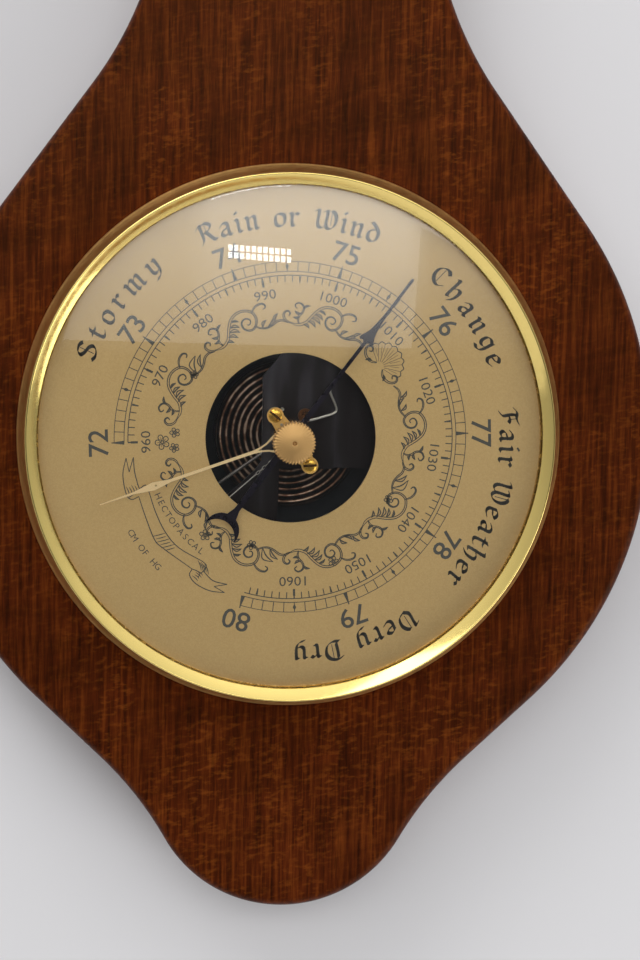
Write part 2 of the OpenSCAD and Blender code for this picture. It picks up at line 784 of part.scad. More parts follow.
module base_spacers() {
    color("goldenrod") bench() for (s = base_spots)
        bar(s, 3, can_floor, base_back, small_screw_r + run);
}

module movement_screws() {
    head = min(can_gap - 0.4, 1.1);
    color("silver") bench() for (s = base_spots) difference() {
        union() {
            bar(s, 2.6, can_back - head, can_back);
            bar(s, small_screw_r, can_back - head / 2, base_front);
        }
        translate([s[0], s[1], can_back - head]) cube([8, 0.8, 1], center = true);
    }
}

// The capsule's drum with the threaded stem that holds it on the base plate
module capsule_drum() {
    color("darkslategray") bench() {
        rotate_extrude($fn = 128) polygon([
            [0, base_front], [6, base_front], [6, capsule_back], [capsule_r, capsule_back],
            [capsule_r, capsule_rim], [capsule_r - capsule_t, capsule_rim],
            [capsule_r - capsule_t, capsule_back + capsule_t], [0, capsule_back + capsule_t]
        ]);
        bar([0, 0], 2.5, can_floor + 0.25, base_front + 0.3);
    }
}

// The corrugated diaphragm, closed on the drum's rim
ridge_last = ridge_first + (ridges - 1) * ridge_pitch;
function ridge(r) = ridge_amp * cos(360 * (r - ridge_first) / ridge_pitch);
module capsule_diaphragm() {
    steps = (ridges * 6) - 6;
    wave = [for (k = [-3:steps + 3]) let (r = ridge_first + ridge_pitch * k / 6)
        [r, capsule_mid + ridge(r)]];
    front = concat([[0, capsule_mid + 0.5], [4.4, capsule_mid + 0.5]], wave,
        [[capsule_r - capsule_t, capsule_mid], [capsule_r, capsule_mid - capsule_t]]);
    last = len(front) - 1;
    back = concat([[capsule_r, capsule_rim], [capsule_r - 2 * capsule_t, capsule_rim]],
        [for (k = [last - 2:-1:0]) front[k] - [0, capsule_t]]);
    color("saddlebrown") bench() rotate_extrude($fn = 128) polygon(concat(front, back));
}

module capsule_nut() {
    color("silver") bench() difference() {
        translate([0, 0, can_floor + 0.3]) cylinder(h = base_back - can_floor - 0.3, r = 4.6, $fn = 6);
        bar([0, 0], 2.5 + seat, can_back, base_front);
    }
}

module capsule_stud() {
    top = bridge_back - 0.6;
    color("goldenrod") bench() difference() {
        union() {
            bar([0, 0], 3, capsule_mid + 0.5, capsule_mid + 1.1);
            bar([0, 0], stud_neck_r, capsule_mid + 0.5, top);
        }
        translate([-knife_h / 2 - seat, -3, spring_front]) cube([knife_h + 2 * seat, 6, knife_h + 2 * seat]);
    }
}

module knife_edge() {
    color("silver") bench() translate([-knife_h / 2, -3.5, spring_front + seat])
        cube([knife_h, 7, knife_h]);
}

// The broad leaf spring over the capsule, with a tail for the regulating screw
module mainspring() {
    tail = 4;
    color("dimgray") plate(spring_back, spring_t) difference() {
        union() {
            polygon([
                [spring_left + 3, spring_low], [clamp_x + clamp_w / 2, spring_low],
                [clamp_x + clamp_w / 2, spring_high], [spring_left + 8, spring_high],
                [spring_left, spring_high - 8], [spring_left, spring_low + 3]
            ]);
            strip([clamp_x, spring_mid], reg_spot, 2 * tail - 1);
            translate(reg_spot) circle(r = tail);
        }
        circle(r = stud_hole_r);
        for (y = clamp_ys) translate([clamp_x, y]) circle(r = small_screw_r + run);
    }
}

module spring_heel() {
    color("slategray") plate(base_front, spring_back - base_front) difference() {
        translate([spring_root, clamp_low]) square([clamp_w, clamp_high - clamp_low]);
        for (y = clamp_ys) translate([clamp_x, y]) circle(r = small_screw_r + seat);
    }
}

module spring_clamp() {
    color("slategray") plate(spring_front, 1.8) difference() {
        translate([spring_root + 0.4, clamp_low]) square([clamp_w - 0.4, clamp_high - clamp_low]);
        for (y = clamp_ys) translate([clamp_x, y]) circle(r = small_screw_r + run);
    }
}

module clamp_screws() {
    color("silver") bench() for (y = clamp_ys)
        slotted([clamp_x, y], spring_front + 1.8, 2.3, 1.1, small_screw_r, 8, 70);
}

eye_half = 0.6;

// The main lever: a saddle on the mainspring, a thin rod, and an eye for the link
module main_lever() {
    z = spring_front + eye_half;
    color("lightgray") bench() difference() {
        union() {
            translate([lever_spot[0] - 0.6, lever_spot[1] - 1.6, spring_front]) cube([3.6, 4.6, 0.6]);
            rod([lever_spot[0], lever_spot[1], z], [link_spot[0], link_spot[1], z], 0.5);
            bar(link_spot, 1.6, z - eye_half, z + eye_half);
        }
        bar(link_spot, 0.85, z - 2, z + 2);
    }
}

module link_rod() {
    top = spring_front + 2 * eye_half + 1.1;
    low = -shaft_depth - eye_half - 1.25;
    color("lightgray") bench() {
        bar(link_spot, link_r, low, top);
        translate([link_spot[0], link_spot[1], top]) sphere(r = 1, $fn = 32);
        translate([link_spot[0], link_spot[1], low]) sphere(r = 1, $fn = 32);
    }
}

shaft_half = 8.5;
pivot_r = 0.5;
ear_t = 1.2;

// Places a child on the rocking shaft: x along the chain, y across it, z to the front
module on_shaft() {
    bench() translate([shaft_spot[0], shaft_spot[1], -shaft_depth]) rotate(chain_angle) children();
}

module rocking_shaft() {
    color("lightsteelblue") on_shaft() rotate([90, 0, 0]) {
        translate([0, 0, -shaft_half]) cylinder(h = 2 * shaft_half, r = shaft_r);
        translate([0, 0, -shaft_half - ear_t - 0.3])
            cylinder(h = 2 * (shaft_half + ear_t + 0.3), r = pivot_r, $fn = 32);
    }
}

// The crank that the link rod moves
module link_crank() {
    color("goldenrod") on_shaft() translate([0, -crank_off, 0]) difference() {
        union() {
            rotate([90, 0, 0]) translate([0, 0, -1]) cylinder(h = 2, r = shaft_r + 0.6);
            translate([0, -1, -0.6]) cube([link_arm, 2, 1.2]);
            translate([link_arm, 0, -0.6]) cylinder(h = 1.2, r = 1.7);
        }
        rotate([90, 0, 0]) translate([0, 0, -3]) cylinder(h = 6, r = shaft_r + seat);
        translate([link_arm, 0, -2]) cylinder(h = 4, r = 0.85);
    }
}

// The arm that pulls the chain
module chain_arm() {
    color("lightgray") on_shaft() translate([0, chain_off, 0]) difference() {
        union() {
            rotate([90, 0, 0]) translate([0, 0, -1]) cylinder(h = 2, r = shaft_r + 1);
            translate([-0.7, -0.7, 0]) cube([1.4, 1.4, chain_len + 0.8]);
        }
        rotate([90, 0, 0]) translate([0, 0, -3]) cylinder(h = 6, r = shaft_r + seat);
        translate([-2, 0, chain_len]) rotate([0, 90, 0]) cylinder(h = 4, r = chain_r + 0.1, $fn = 32);
    }
}

module shaft_bracket() {
    floor_z = base_front + shaft_depth;
    color("gray") on_shaft() difference() {
        union() {
            translate([-3, -shaft_half - ear_t - 0.1, floor_z]) cube([6, 2 * (shaft_half + ear_t + 0.1), 1.2]);
            for (side = [-1, 1]) translate([-2.2, side * (shaft_half + 0.1 + ear_t / 2) - ear_t / 2, floor_z])
                cube([4.4, ear_t, 2.2 - floor_z]);
        }
        rotate([90, 0, 0]) translate([0, 0, -20]) cylinder(h = 40, r = pivot_r + run, $fn = 32);
    }
}

// The fine chain from the arm to the drum, with its last turn round the drum
chain_wrap = 200;
chain_curve = concat(
    [[shaft_at + 1.4, chain_off], [shaft_at / 2, chain_off]],
    arc([0, 0], chain_off, 90, 90 + chain_wrap, 14)
);
module fusee_chain() {
    color("lightgray") bench() translate([0, 0, chain_z]) rotate(chain_angle)
        flat_tube(chain_curve, chain_r, 8);
}

module regulator_bush() {
    color("goldenrod") bench() difference() {
        union() {
            bar(reg_spot, 2.6, base_back, base_front + 4);
            bar(reg_spot, 4, base_front, base_front + 1);
        }
        bar(reg_spot, reg_screw_r + run, base_back - 1, base_front + 5);
    }
}

module regulating_screw() {
    head = base_gap - 0.6;
    color("khaki") bench() difference() {
        union() {
            bar(reg_spot, reg_screw_r, can_floor + 0.3, spring_back - 0.05);
            bar(reg_spot, 2.5, can_floor + 0.2, can_floor + 0.2 + head);
        }
        translate([reg_spot[0], reg_spot[1], can_floor + 0.2]) rotate(30) cube([8, 0.8, 1.6], center = true);
    }
}

// Thermometer on the neck
module thermometer_plate() {
    corner = 5;
    color("wheat") plate(0, thermo_t) difference() {
        union() {
            translate([-thermo_w / 2, thermo_low + corner]) square([thermo_w, thermo_h - 2 * corner]);
            translate([-thermo_w / 2 + corner, thermo_low]) square([thermo_w - 2 * corner, thermo_h]);
            for (x = [-1, 1], y = [-1, 1])
                translate([x * (thermo_w / 2 - corner), thermo_rise + y * (thermo_h / 2 - corner)])
                    circle(r = corner);
        }
        translate([0, bulb_y]) circle(r = bulb_r + 0.5);
        for (y = thermo_screw_ys) translate([0, y]) circle(r = small_screw_r + run);
    }
}

module up_neck(y) {
    bench() translate([0, y, tube_z]) rotate([-90, 0, 0]) children();
}

function bulb_arc(r, neck, n) = arc([0, 0], r, -90, acos(neck / r), n);

module thermometer_tube() {
    rise = tube_top - bulb_y;
    inner = bulb_r - bulb_wall;
    hollow = bulb_arc(inner, tube_bore, 14);
    color("lightcyan", 0.35) up_neck(bulb_y) rotate_extrude() polygon(concat(
        bulb_arc(bulb_r, tube_r, 14),
        [[tube_r, rise - tube_r], [tube_r * 0.7, rise - tube_r * 0.3], [0, rise],
         [0, rise - 4], [tube_bore, rise - 4]],
        [for (k = [14:-1:0]) hollow[k]]
    ));
}

module thermometer_spirit() {
    rise = spirit_top - bulb_y;
    inner = bulb_r - bulb_wall - seat;
    bore = tube_bore - seat;
    color("firebrick") up_neck(bulb_y) rotate_extrude() polygon(concat(
        bulb_arc(inner, bore, 14), [[bore, rise], [0, rise]]
    ));
}

module thermometer_clips() {
    strap = 0.5;
    outer = tube_r + strap;
    color("gold") for (y = clip_ys) bench() translate([0, y + 1.5, tube_z]) rotate([90, 0, 0])
        linear_extrude(3) difference() {
            union() {
                circle(r = outer + 0.05);
                translate([-outer - 0.05, thermo_t - tube_z]) square([2 * outer + 0.1, tube_z - thermo_t]);
                translate([-outer - 3, thermo_t - tube_z]) square([2 * outer + 6, strap]);
            }
            circle(r = tube_r + 0.05);
            translate([-tube_r - 0.05, -tube_z]) square([2 * tube_r + 0.1, tube_z]);
        }
}

module thermometer_screws() {
    color("gold") bench() for (y = thermo_screw_ys)
        slotted([0, y], thermo_t, 2.6, 1.3, small_screw_r, 10, 40);
}

board();
hanging_plate();
hanging_screws();
case_can();
case_screws();
dial_seat_ring();
dial_plate();
bezel();
glass_spacer_ring();
domed_glass();
glass_bush();
bush_nut();
set_knob();
set_spindle();
set_hand();
pointer();
pointer_arbor();
hairspring_collet();
hairspring();
hairspring_stud();
guide_pin();
arbor_cock();
cock_pillars();
cock_screws();
cock_pins();
bridge_plate();
bridge_pillars();
bridge_screws();
bridge_rivet();
base_plate();
base_spacers();
movement_screws();
capsule_drum();
capsule_diaphragm();
capsule_nut();
capsule_stud();
knife_edge();
mainspring();
spring_heel();
spring_clamp();
clamp_screws();
main_lever();
link_rod();
rocking_shaft();
link_crank();
chain_arm();
shaft_bracket();
fusee_chain();
regulator_bush();
regulating_screw();
thermometer_plate();
thermometer_tube();
thermometer_spirit();
thermometer_clips();
thermometer_screws();
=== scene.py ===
# %% [markdown]
# # A wall barometer
# The lesson dresses a finished mechanical model: a shaped mahogany board, a brass bezel with a
# domed glass, a printed dial with an open centre, two hands and the movement behind them. The
# imported model is the fixed frame. Each piece that is made here rides on one of its bodies, so that
# the pointer, the set hand and the levers still move; only the chain and the capsule's lid ride on
# none.

# %% Load the fixed frame
import bpy
import bmesh
import math
from mathutils import Matrix, Vector


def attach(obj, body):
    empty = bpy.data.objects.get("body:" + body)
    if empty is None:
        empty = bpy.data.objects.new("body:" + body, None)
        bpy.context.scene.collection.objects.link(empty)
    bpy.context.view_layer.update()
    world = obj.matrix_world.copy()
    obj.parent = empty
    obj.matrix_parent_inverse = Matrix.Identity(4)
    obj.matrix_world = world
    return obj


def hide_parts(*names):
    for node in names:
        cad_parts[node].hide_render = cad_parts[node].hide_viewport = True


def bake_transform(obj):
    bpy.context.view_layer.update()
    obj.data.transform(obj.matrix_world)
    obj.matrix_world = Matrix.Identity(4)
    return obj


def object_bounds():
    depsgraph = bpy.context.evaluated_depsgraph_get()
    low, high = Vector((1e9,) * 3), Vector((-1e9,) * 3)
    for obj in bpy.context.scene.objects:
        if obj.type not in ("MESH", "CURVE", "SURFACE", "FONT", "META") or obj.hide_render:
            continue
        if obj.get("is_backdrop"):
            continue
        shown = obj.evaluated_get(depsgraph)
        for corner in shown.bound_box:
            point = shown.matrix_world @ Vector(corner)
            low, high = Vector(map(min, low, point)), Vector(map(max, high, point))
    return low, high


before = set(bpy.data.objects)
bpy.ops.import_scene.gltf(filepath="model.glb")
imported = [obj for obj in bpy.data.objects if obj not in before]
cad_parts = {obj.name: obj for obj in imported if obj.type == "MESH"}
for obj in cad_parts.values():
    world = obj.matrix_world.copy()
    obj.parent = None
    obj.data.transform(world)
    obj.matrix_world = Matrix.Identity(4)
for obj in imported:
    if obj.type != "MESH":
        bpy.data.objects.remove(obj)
cad_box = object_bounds()

# %% [markdown]
# ## The bench frame
# A clockmaker thinks of a dial as lying face up on the bench: x to the right, y up the board, z to
# the viewer, in millimetres from the dial's axis at the board's front. All pieces are drawn so, and
# one matrix carries them into the model's metres. Clock angles run clockwise from twelve.

# %% The bench matrix and clock angles
MM = 0.001
BOARD_T = 24.0
DIAL_DROP = 405.0
BENCH = (Matrix.Translation((0, -BOARD_T * MM, -DIAL_DROP * MM))
         @ Matrix.Rotation(math.radians(90), 4, "X") @ Matrix.Scale(MM, 4))


def clock(angle, radius, height=0.0):
    a = math.radians(angle)
    return Vector((radius * math.sin(a), radius * math.cos(a), height))


print("dial axis at", [round(v, 4) for v in BENCH @ Vector((0, 0, 0))])

# %% [markdown]
# ## Finishing a piece
# A piece is drawn with bmesh, moved to its place in the mesh itself, shaded smooth except at real
# corners, and given to the body that carries it. Doing this in one function keeps every object at
# the origin, which the export needs. A thin piece that gives, such as a chain or a capsule's lid,
# is given to no body here and stays where it is made.

# %% One function that finishes a piece
def to_mesh(bm, name):
    mesh = bpy.data.meshes.new(name)
    bm.to_mesh(mesh)
    bm.free()
    return mesh


def put(name, data):
    obj = bpy.data.objects.new(name, data)
    bpy.context.scene.collection.objects.link(obj)
    return obj


def finish_piece(name, bm, body, skin, replaces=(), corner=35):
    """Body is one body's name, which carries the piece; any other body is not used, and the piece
    stays where it is made.
    """
    bm.transform(BENCH)
    mesh = to_mesh(bm, name)
    obj = put(name, mesh)
    mesh.materials.append(skin)
    mesh.polygons.foreach_set("use_smooth", [True] * len(mesh.polygons))
    mesh.set_sharp_from_angle(angle=math.radians(corner))
    if isinstance(body, str):
        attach(obj, body)
    else:
        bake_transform(obj)
    if replaces:
        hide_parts(*replaces)
    print(name, "faces:", len(mesh.polygons))
    return obj


def close_up(bm):
    """Merges doubled points and turns all faces outward."""
    bmesh.ops.remove_doubles(bm, verts=bm.verts, dist=1e-4)
    bmesh.ops.recalc_face_normals(bm, faces=bm.faces)


def spun(profile, steps):
    """A round piece from its profile of (radius, height) points, turned round the dial's axis."""
    bm = bmesh.new()
    ring = [bm.verts.new((r, 0, h)) for r, h in profile]
    edges = [bm.edges.new((a, b)) for a, b in zip(ring, ring[1:])]
    bmesh.ops.spin(bm, geom=ring + edges, cent=(0, 0, 0), axis=(0, 0, 1), angle=math.tau,
                   steps=steps, use_merge=True)
    close_up(bm)
    return bm


def join(bm, part):
    """Adds the bmesh part to bm."""
    mesh = to_mesh(part, "part")
    bm.from_mesh(mesh)
    bpy.data.meshes.remove(mesh)


# %% [markdown]
# ## Building materials with nodes
# Colours are written as they look on a screen, in hex, and turned to the linear values that the
# shader wants. One helper adds a node with its settings and its links, so that each material below
# reads as a short recipe, in which a node stands for its first live output.

# %% Colour and node helpers
def tone(hex_code):
    out = []
    for k in (1, 3, 5):
        c = int(hex_code[k:k + 2], 16) / 255
        out.append(c / 12.92 if c <= 0.04045 else ((c + 0.055) / 1.055) ** 2.4)
    return (*out, 1.0)


def feed(tree, node, inputs):
    """Links or sets the inputs of a node."""
    for key, value in inputs.items():
        if isinstance(value, bpy.types.Node):
            value = next(out for out in value.outputs if out.enabled)
        if isinstance(value, bpy.types.NodeSocket):
            tree.links.new(value, node.inputs[key])
        else:
            node.inputs[key].default_value = tone(value) if isinstance(value, str) else value


def add(tree, kind, inputs, stops=(), **settings):
    """A new node with its settings and inputs, and a ramp with its stops."""
    node = tree.nodes.new("ShaderNode" + kind)
    for key, value in settings.items():
        setattr(node, key, value)
    feed(tree, node, inputs)
    for k in range(2, len(stops)):
        node.color_ramp.elements.new(0.5)
    for k, (place, colour) in enumerate(stops):
        element = node.color_ramp.elements[k]
        element.position = place
        element.color = tone(colour) if isinstance(colour, str) else (colour,) * 3 + (1,)
    return node


def new_skin(name, inputs):
    mat = bpy.data.materials.new(name)
    mat.use_nodes = True
    shader = mat.node_tree.nodes["Principled BSDF"]
    feed(mat.node_tree, shader, inputs)
    return mat, mat.node_tree, shader


def object_space(tree, waves, tilt=0.0):
    """Object coordinates for a pattern whose waves have the given sizes in mm along x, y and z."""
    where = add(tree, "TexCoord", {}).outputs["Object"]
    if tilt:
        where = add(tree, "Mapping", {"Vector": where, "Rotation": (0, math.radians(tilt), 0)})
    return add(tree, "Mapping", {"Vector": where, "Scale": [1 / (MM * wave) for wave in waves]})


print("middle grey, #808080, is", round(tone("#808080")[0], 3), "in linear light")

# %% [markdown]
# ## The wood
# Stained mahogany veneer shows three things at once: long fine grain lines that run up the board,
# short dark pores between them, and a warm mottle that crosses the grain, with orange flecks where
# the stain took less. A thin semi-gloss lacquer lies over it. Each of them is a noise that is
# stretched along its own direction. Real pores are a fifth of a millimetre wide, too fine to show
# here, so they are drawn at half a millimetre.

# %% Mahogany
def mahogany():
    mat, tree, shader = new_skin("Mahogany_stained", {
        "Roughness": 0.38, "Specular IOR Level": 0.16, "Specular Tint": "#d9a271"})
    grain, bands, mottle, figure, pores = [
        add(tree, "TexNoise", {"Vector": object_space(tree, waves, tilt), "Scale": 1.0,
            "Detail": detail, "Roughness": rough, "Distortion": distortion})
        for waves, tilt, detail, rough, distortion in (
            ((1.1, 1.1, 24), 0, 4, 0.6, 0.15), ((16, 20, 50), 0, 3, 0.55, 0),
            ((3.2, 20, 1.3), 9, 2, 0.6, 0.2), ((40, 50, 6), 14, 3, 0.6, 0.5),
            ((0.55, 0.55, 6), 0, 2, 0.5, 0))]
    colour, wide, cross, holes, flecks, patches = [
        add(tree, "ValToRGB", {"Fac": noise}, stops) for noise, stops in (
            (grain, [(0.3, "#2e0f05"), (0.5, "#4c1d09"), (0.7, "#68300f")]),
            (bands, [(0.32, 0.62), (0.66, 1.0)]), (figure, [(0.36, 0.66), (0.6, 1.0)]),
            (pores, [(0.32, 0.5), (0.44, 1.0)]), (mottle, [(0.5, 0.0), (0.78, 0.42)]),
            (bands, [(0.42, 0.2), (0.6, 1.0)]))]
    patchy = add(tree, "Math", {0: flecks, 1: patches}, operation="MULTIPLY")
    for factor, layer, blend in ((0.75, wide, "MULTIPLY"), (0.8, cross, "MULTIPLY"),
                                 (patchy, "#8f4c19", "MIX"), (0.6, holes, "MULTIPLY")):
        colour = add(tree, "Mix", {"Factor": factor, "A": colour, "B": layer},
                     data_type="RGBA", blend_type=blend)
    bump = add(tree, "Bump", {"Strength": 0.25, "Distance": 0.00015, "Height": pores})
    feed(tree, shader, {"Base Color": colour, "Normal": bump})
    return mat


MAHOGANY = mahogany()
print("nodes in the wood:", len(MAHOGANY.node_tree.nodes))

# %% [markdown]
# ## The metals
# Polished and lacquered brass shows its surroundings tinted gold, satin and brushed brass blur
# them, blued steel is dark with a violet sheen and the movement's steel parts are bronzed to a dark
# grey. All but the bronzed ones are fully metallic: what differs is the colour, the roughness and
# how evenly the polish lies.

# %% Polished, satin and bronzed metals
def metal(name, colour, roughness, spread):
    """A metal whose polish drifts by the spread over patches of two millimetres."""
    mat, tree, shader = new_skin(name, {"Base Color": colour, "Metallic": 1.0})
    patches = add(tree, "TexNoise", {"Vector": object_space(tree, (2, 2, 2)), "Scale": 1.0,
                  "Detail": 3.0, "Roughness": 0.6})
    feed(tree, shader, {"Roughness": add(tree, "MapRange", {
        "Value": patches, "From Min": 0.3, "From Max": 0.7,
        "To Min": roughness - spread, "To Max": roughness + spread})})
    return mat


def clouded(name, metallic, roughness, waves, detail, rough, stops, wear_and_glint=0.0):
    """A coat whose colour drifts through the stops, and goes up them on marked crests: wear, and a
    painted highlight.
    """
    mat, tree, shader = new_skin(name, {"Metallic": metallic, "Roughness": roughness})
    drift = add(tree, "TexNoise", {"Vector": object_space(tree, waves), "Scale": 1.0,
                "Detail": detail, "Roughness": rough})
    # Marked crests go up the stops: worn copper, and a painted highlight on their tops.
    if wear_and_glint:
        crest = add(tree, "Attribute", {}, attribute_name="crest").outputs["Fac"]
        drift = add(tree, "Math", {0: crest, 1: wear_and_glint, 2: drift}, operation="MULTIPLY_ADD")
    feed(tree, shader, {"Base Color": add(tree, "ValToRGB", {"Fac": drift}, stops)})
    return mat


BEZEL_BRASS = metal("Brass_polished_lacquered", "#e6cd7d", 0.13, 0.03)
FLANK_BRASS = metal("Brass_brushed_flank", "#e8ba72", 0.36, 0.05)
COCK_BRASS = metal("Brass_cock_satin", "#deb268", 0.4, 0.05)
PLAIN_BRASS = metal("Brass_lacquered", "#d3a548", 0.25, 0.05)
DULL_BRASS = metal("Brass_can_dull", "#94733f", 0.5, 0.08)
SET_BRASS = metal("Brass_set_hand_pale", "#f2d5a4", 0.42, 0.05)
# Dark brass for the faces inside the screw slots: painted shade.
SLOT_SHADE_BRASS = metal("Brass_slot_painted_shade", "#4d371b", 0.6, 0.05)
KNOB_BRASS = metal("Brass_knob_satin", "#b8935f", 0.5, 0.05)
BLUED_STEEL = metal("Steel_blued", "#2b2732", 0.3, 0.06)
BRIGHT_STEEL = metal("Steel_bright", "#a09c94", 0.34, 0.08)
GREY_STEEL = metal("Steel_grey_oiled", "#5a5552", 0.4, 0.08)
BLACK_STEEL = metal("Steel_blackened", "#2d2f32", 0.55, 0.06)
COPPER = metal("Copper_browned", "#6a452a", 0.3, 0.06)
SPRING_BRONZE = metal("Bronze_spring", "#b98a55", 0.25, 0.05)
# Bronzing leaves a nearly black coat that lies thinner in soft upright bands, where steel shows.
BRONZED_STEEL = clouded("Steel_bronzed_dark", 0.9, 0.36, (9, 30, 45), 2, 0.5, [
    (0.36, "#1b1414"), (0.52, "#272324"), (0.68, "#454348")])
print("skins so far:", len(bpy.data.materials))

# %% [markdown]
# ## Paint, lacquer, ink, glass and spirit
# The dial is a metal disc with a pale gold satin coat: half metal, half paint to the eye. Its real
# grain is finer than a tenth of a millimetre and is drawn at 0.4 mm, so that it shows. The capsule
# is lacquered nearly black, and the copper shows through on its ridges. Their tops are painted paler
# still, a painted highlight for the glint along them. Each point of the lid carries how high it
# stands on its ridge, so the wear and the painted highlight stay in place when the lid moves. The
# glass lets the lamps' light through to the dial, so shadow rays pass it as if it weren't there.

# %% Coats, ink and glass
def clear_glass(name):
    mat, tree, shader = new_skin(name, {
        "Base Color": "#fbfcfb", "Roughness": 0.0, "IOR": 1.45, "Transmission Weight": 1.0})
    shadow = add(tree, "LightPath", {}).outputs["Is Shadow Ray"]
    open_way = add(tree, "BsdfTransparent", {"Color": "#f4f4f0"})
    both = add(tree, "MixShader", {0: shadow, 1: shader, 2: open_way})
    feed(tree, tree.nodes["Material Output"], {"Surface": both})
    return mat


DIAL_GOLD = clouded("Dial_pale_gold_satin", 0.55, 0.46, (0.4,) * 3, 2, 0.5, [
    (0.35, "#b09260"), (0.65, "#b79a67")])
# The pale last stops are a painted highlight along the ridge tops, over the worn copper.
LACQUER = clouded("Capsule_lacquer_dark", 0.85, 0.3, (6,) * 3, 4, 0.6, [
    (0.4, "#17120f"), (0.66, "#38271f"), (0.86, "#86604a"), (0.98, "#d0b49c")], wear_and_glint=0.42)
INK = new_skin("Ink_dial_print", {"Base Color": "#35342f", "Roughness": 0.55})[0]
SPIRIT = new_skin("Spirit_red", {"Base Color": "#a01812", "Roughness": 0.2})[0]
GLASS = clear_glass("Glass_domed")
TUBE_GLASS = clear_glass("Glass_tube")
print("skins in all:", len(bpy.data.materials))

# %% [markdown]
# ## Dressing the pieces that keep their shape
# Screws, pillars, plates and levers are already right as machined solids. They only get their
# finish: each node's material slot takes the skin that the real metal has.

# %% Skins for the nodes
SKINS = {
    PLAIN_BRASS: ["hanging_plate", "hanging_screws", "dial_seat_ring", "glass_spacer_ring",
                  "glass_bush", "bush_nut", "set_spindle", "hairspring_collet", "cock_pillars",
                  "cock_screws", "base_spacers", "capsule_stud", "link_crank",
                  "regulator_bush", "regulating_screw", "thermometer_clips", "thermometer_screws"],
    KNOB_BRASS: ["set_knob"],
    COCK_BRASS: ["arbor_cock"],
    SET_BRASS: ["set_hand"],
    BEZEL_BRASS: ["bezel"],
    DULL_BRASS: ["case_can"],
    BLUED_STEEL: ["pointer"],
    BRIGHT_STEEL: ["case_screws", "pointer_arbor", "hairspring_stud", "guide_pin", "cock_pins",
                   "bridge_pillars", "bridge_screws", "movement_screws", "capsule_nut",
                   "knife_edge", "clamp_screws", "fusee_chain"],
    GREY_STEEL: ["main_lever", "link_rod", "rocking_shaft", "chain_arm"],
    BLACK_STEEL: ["base_plate", "capsule_drum"],
    BRONZED_STEEL: ["bridge_plate", "mainspring", "spring_heel", "spring_clamp", "shaft_bracket"],
    COPPER: ["bridge_rivet"],
    SPRING_BRONZE: ["hairspring"],
    LACQUER: ["capsule_diaphragm"],
    DIAL_GOLD: ["dial_plate", "thermometer_plate"],
    GLASS: ["domed_glass"],
    TUBE_GLASS: ["thermometer_tube"],
    SPIRIT: ["thermometer_spirit"],
    MAHOGANY: ["board"],
}
dressed = set()
for skin, nodes in SKINS.items():
    for node in nodes:
        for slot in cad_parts[node].material_slots:
            slot.material = skin
        dressed.add(node)
print("dressed", len(dressed), "left", sorted(set(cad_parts) - dressed))

# %% [markdown]
# ## The board
# The board is sawn to an outline of arcs that meet in common tangents, and its front edge is
# rounded with a router bit. The arcs come from the same sizes as the model's. The edge is a real
# quarter round here, so the light rolls over it.

# %% The board's outline
BOARD_R, WAIST_HALF, WAIST_R, WAIST_FLANK = 101.0, 36.2, 97.9, 44.9
LOWER_R, LOWER_FLANK, TIP_R, TIP_DROP = 101.5, 24.8, 38.0, 133.0
HEAD_R, HEAD_RISE, SHOULDER_R, EDGE_R = 47.0, 350.0, 45.0, 2.6
HOLE_R, RECESS_R, RECESS_LOW, RECESS_DEEP = 57.4, 8.15, DIAL_DROP - 44, 1.7


def arc(cx, cy, r, a0, a1, n, first=0):
    return [(cx + r * math.cos(math.radians(a0 + (a1 - a0) * k / n)),
             cy + r * math.sin(math.radians(a0 + (a1 - a0) * k / n))) for k in range(first, n + 1)]


def half_outline(inset):
    waist_x = WAIST_HALF + WAIST_R
    span = math.hypot(BOARD_R + WAIST_R, WAIST_FLANK)
    waist_y = math.sqrt(span ** 2 - waist_x ** 2)
    waist_turn = math.degrees(math.atan2(waist_y, waist_x)
                              - math.acos((BOARD_R + WAIST_R) / span))
    low_span = math.hypot(BOARD_R + LOWER_R, LOWER_FLANK)
    tip_y = TIP_DROP - TIP_R
    low_y = (low_span ** 2 - (LOWER_R + TIP_R) ** 2 + tip_y ** 2) / (2 * tip_y)
    low_x = math.sqrt(low_span ** 2 - low_y ** 2)
    low_turn = math.degrees(math.atan2(low_y, low_x) - math.acos((BOARD_R + LOWER_R) / low_span))
    tip_turn = math.degrees(math.atan2(low_y - tip_y, low_x))
    shoulder_x = WAIST_HALF + SHOULDER_R
    shoulder_turn = math.degrees(math.acos(shoulder_x / (HEAD_R + SHOULDER_R)))
    shoulder_y = HEAD_RISE - (HEAD_R + SHOULDER_R) * math.sin(math.radians(shoulder_turn))
    return (arc(0, HEAD_RISE, HEAD_R - inset, 90, -shoulder_turn, 40)
            + arc(shoulder_x, shoulder_y, SHOULDER_R + inset, 180 - shoulder_turn, 180, 14, 1)
            + arc(waist_x, waist_y, WAIST_R + inset, 180, 180 + waist_turn, 28)
            + arc(0, 0, BOARD_R - inset, waist_turn, -low_turn, 90)
            + arc(low_x, -low_y, LOWER_R + inset, 180 - low_turn, 180 - tip_turn, 20)
            + arc(0, -tip_y, TIP_R - inset, -tip_turn, -90, 32, 1))


def outline(inset):
    half = half_outline(inset)
    return half[::-1] + [(-x, y) for x, y in half[1:-1]]


print("outline points:", len(outline(0)))

# %% [markdown]
# The board needs its round hole for the can, the recess for the hanging plate and the screw holes,
# all seen only from behind; the screw holes are not cut here. The outline loops are bridged into a
# wall, the flat faces are filled across the outline, and boolean cuts make the hole and the recess.

# %% Build the board
def cutter(radius, x, y, z0, z1, sides=96):
    bm = bmesh.new()
    bmesh.ops.create_cone(bm, cap_ends=True, segments=sides, radius1=radius, radius2=radius,
                          depth=z1 - z0)
    bmesh.ops.translate(bm, verts=bm.verts, vec=(x, y, (z0 + z1) / 2))
    return bm


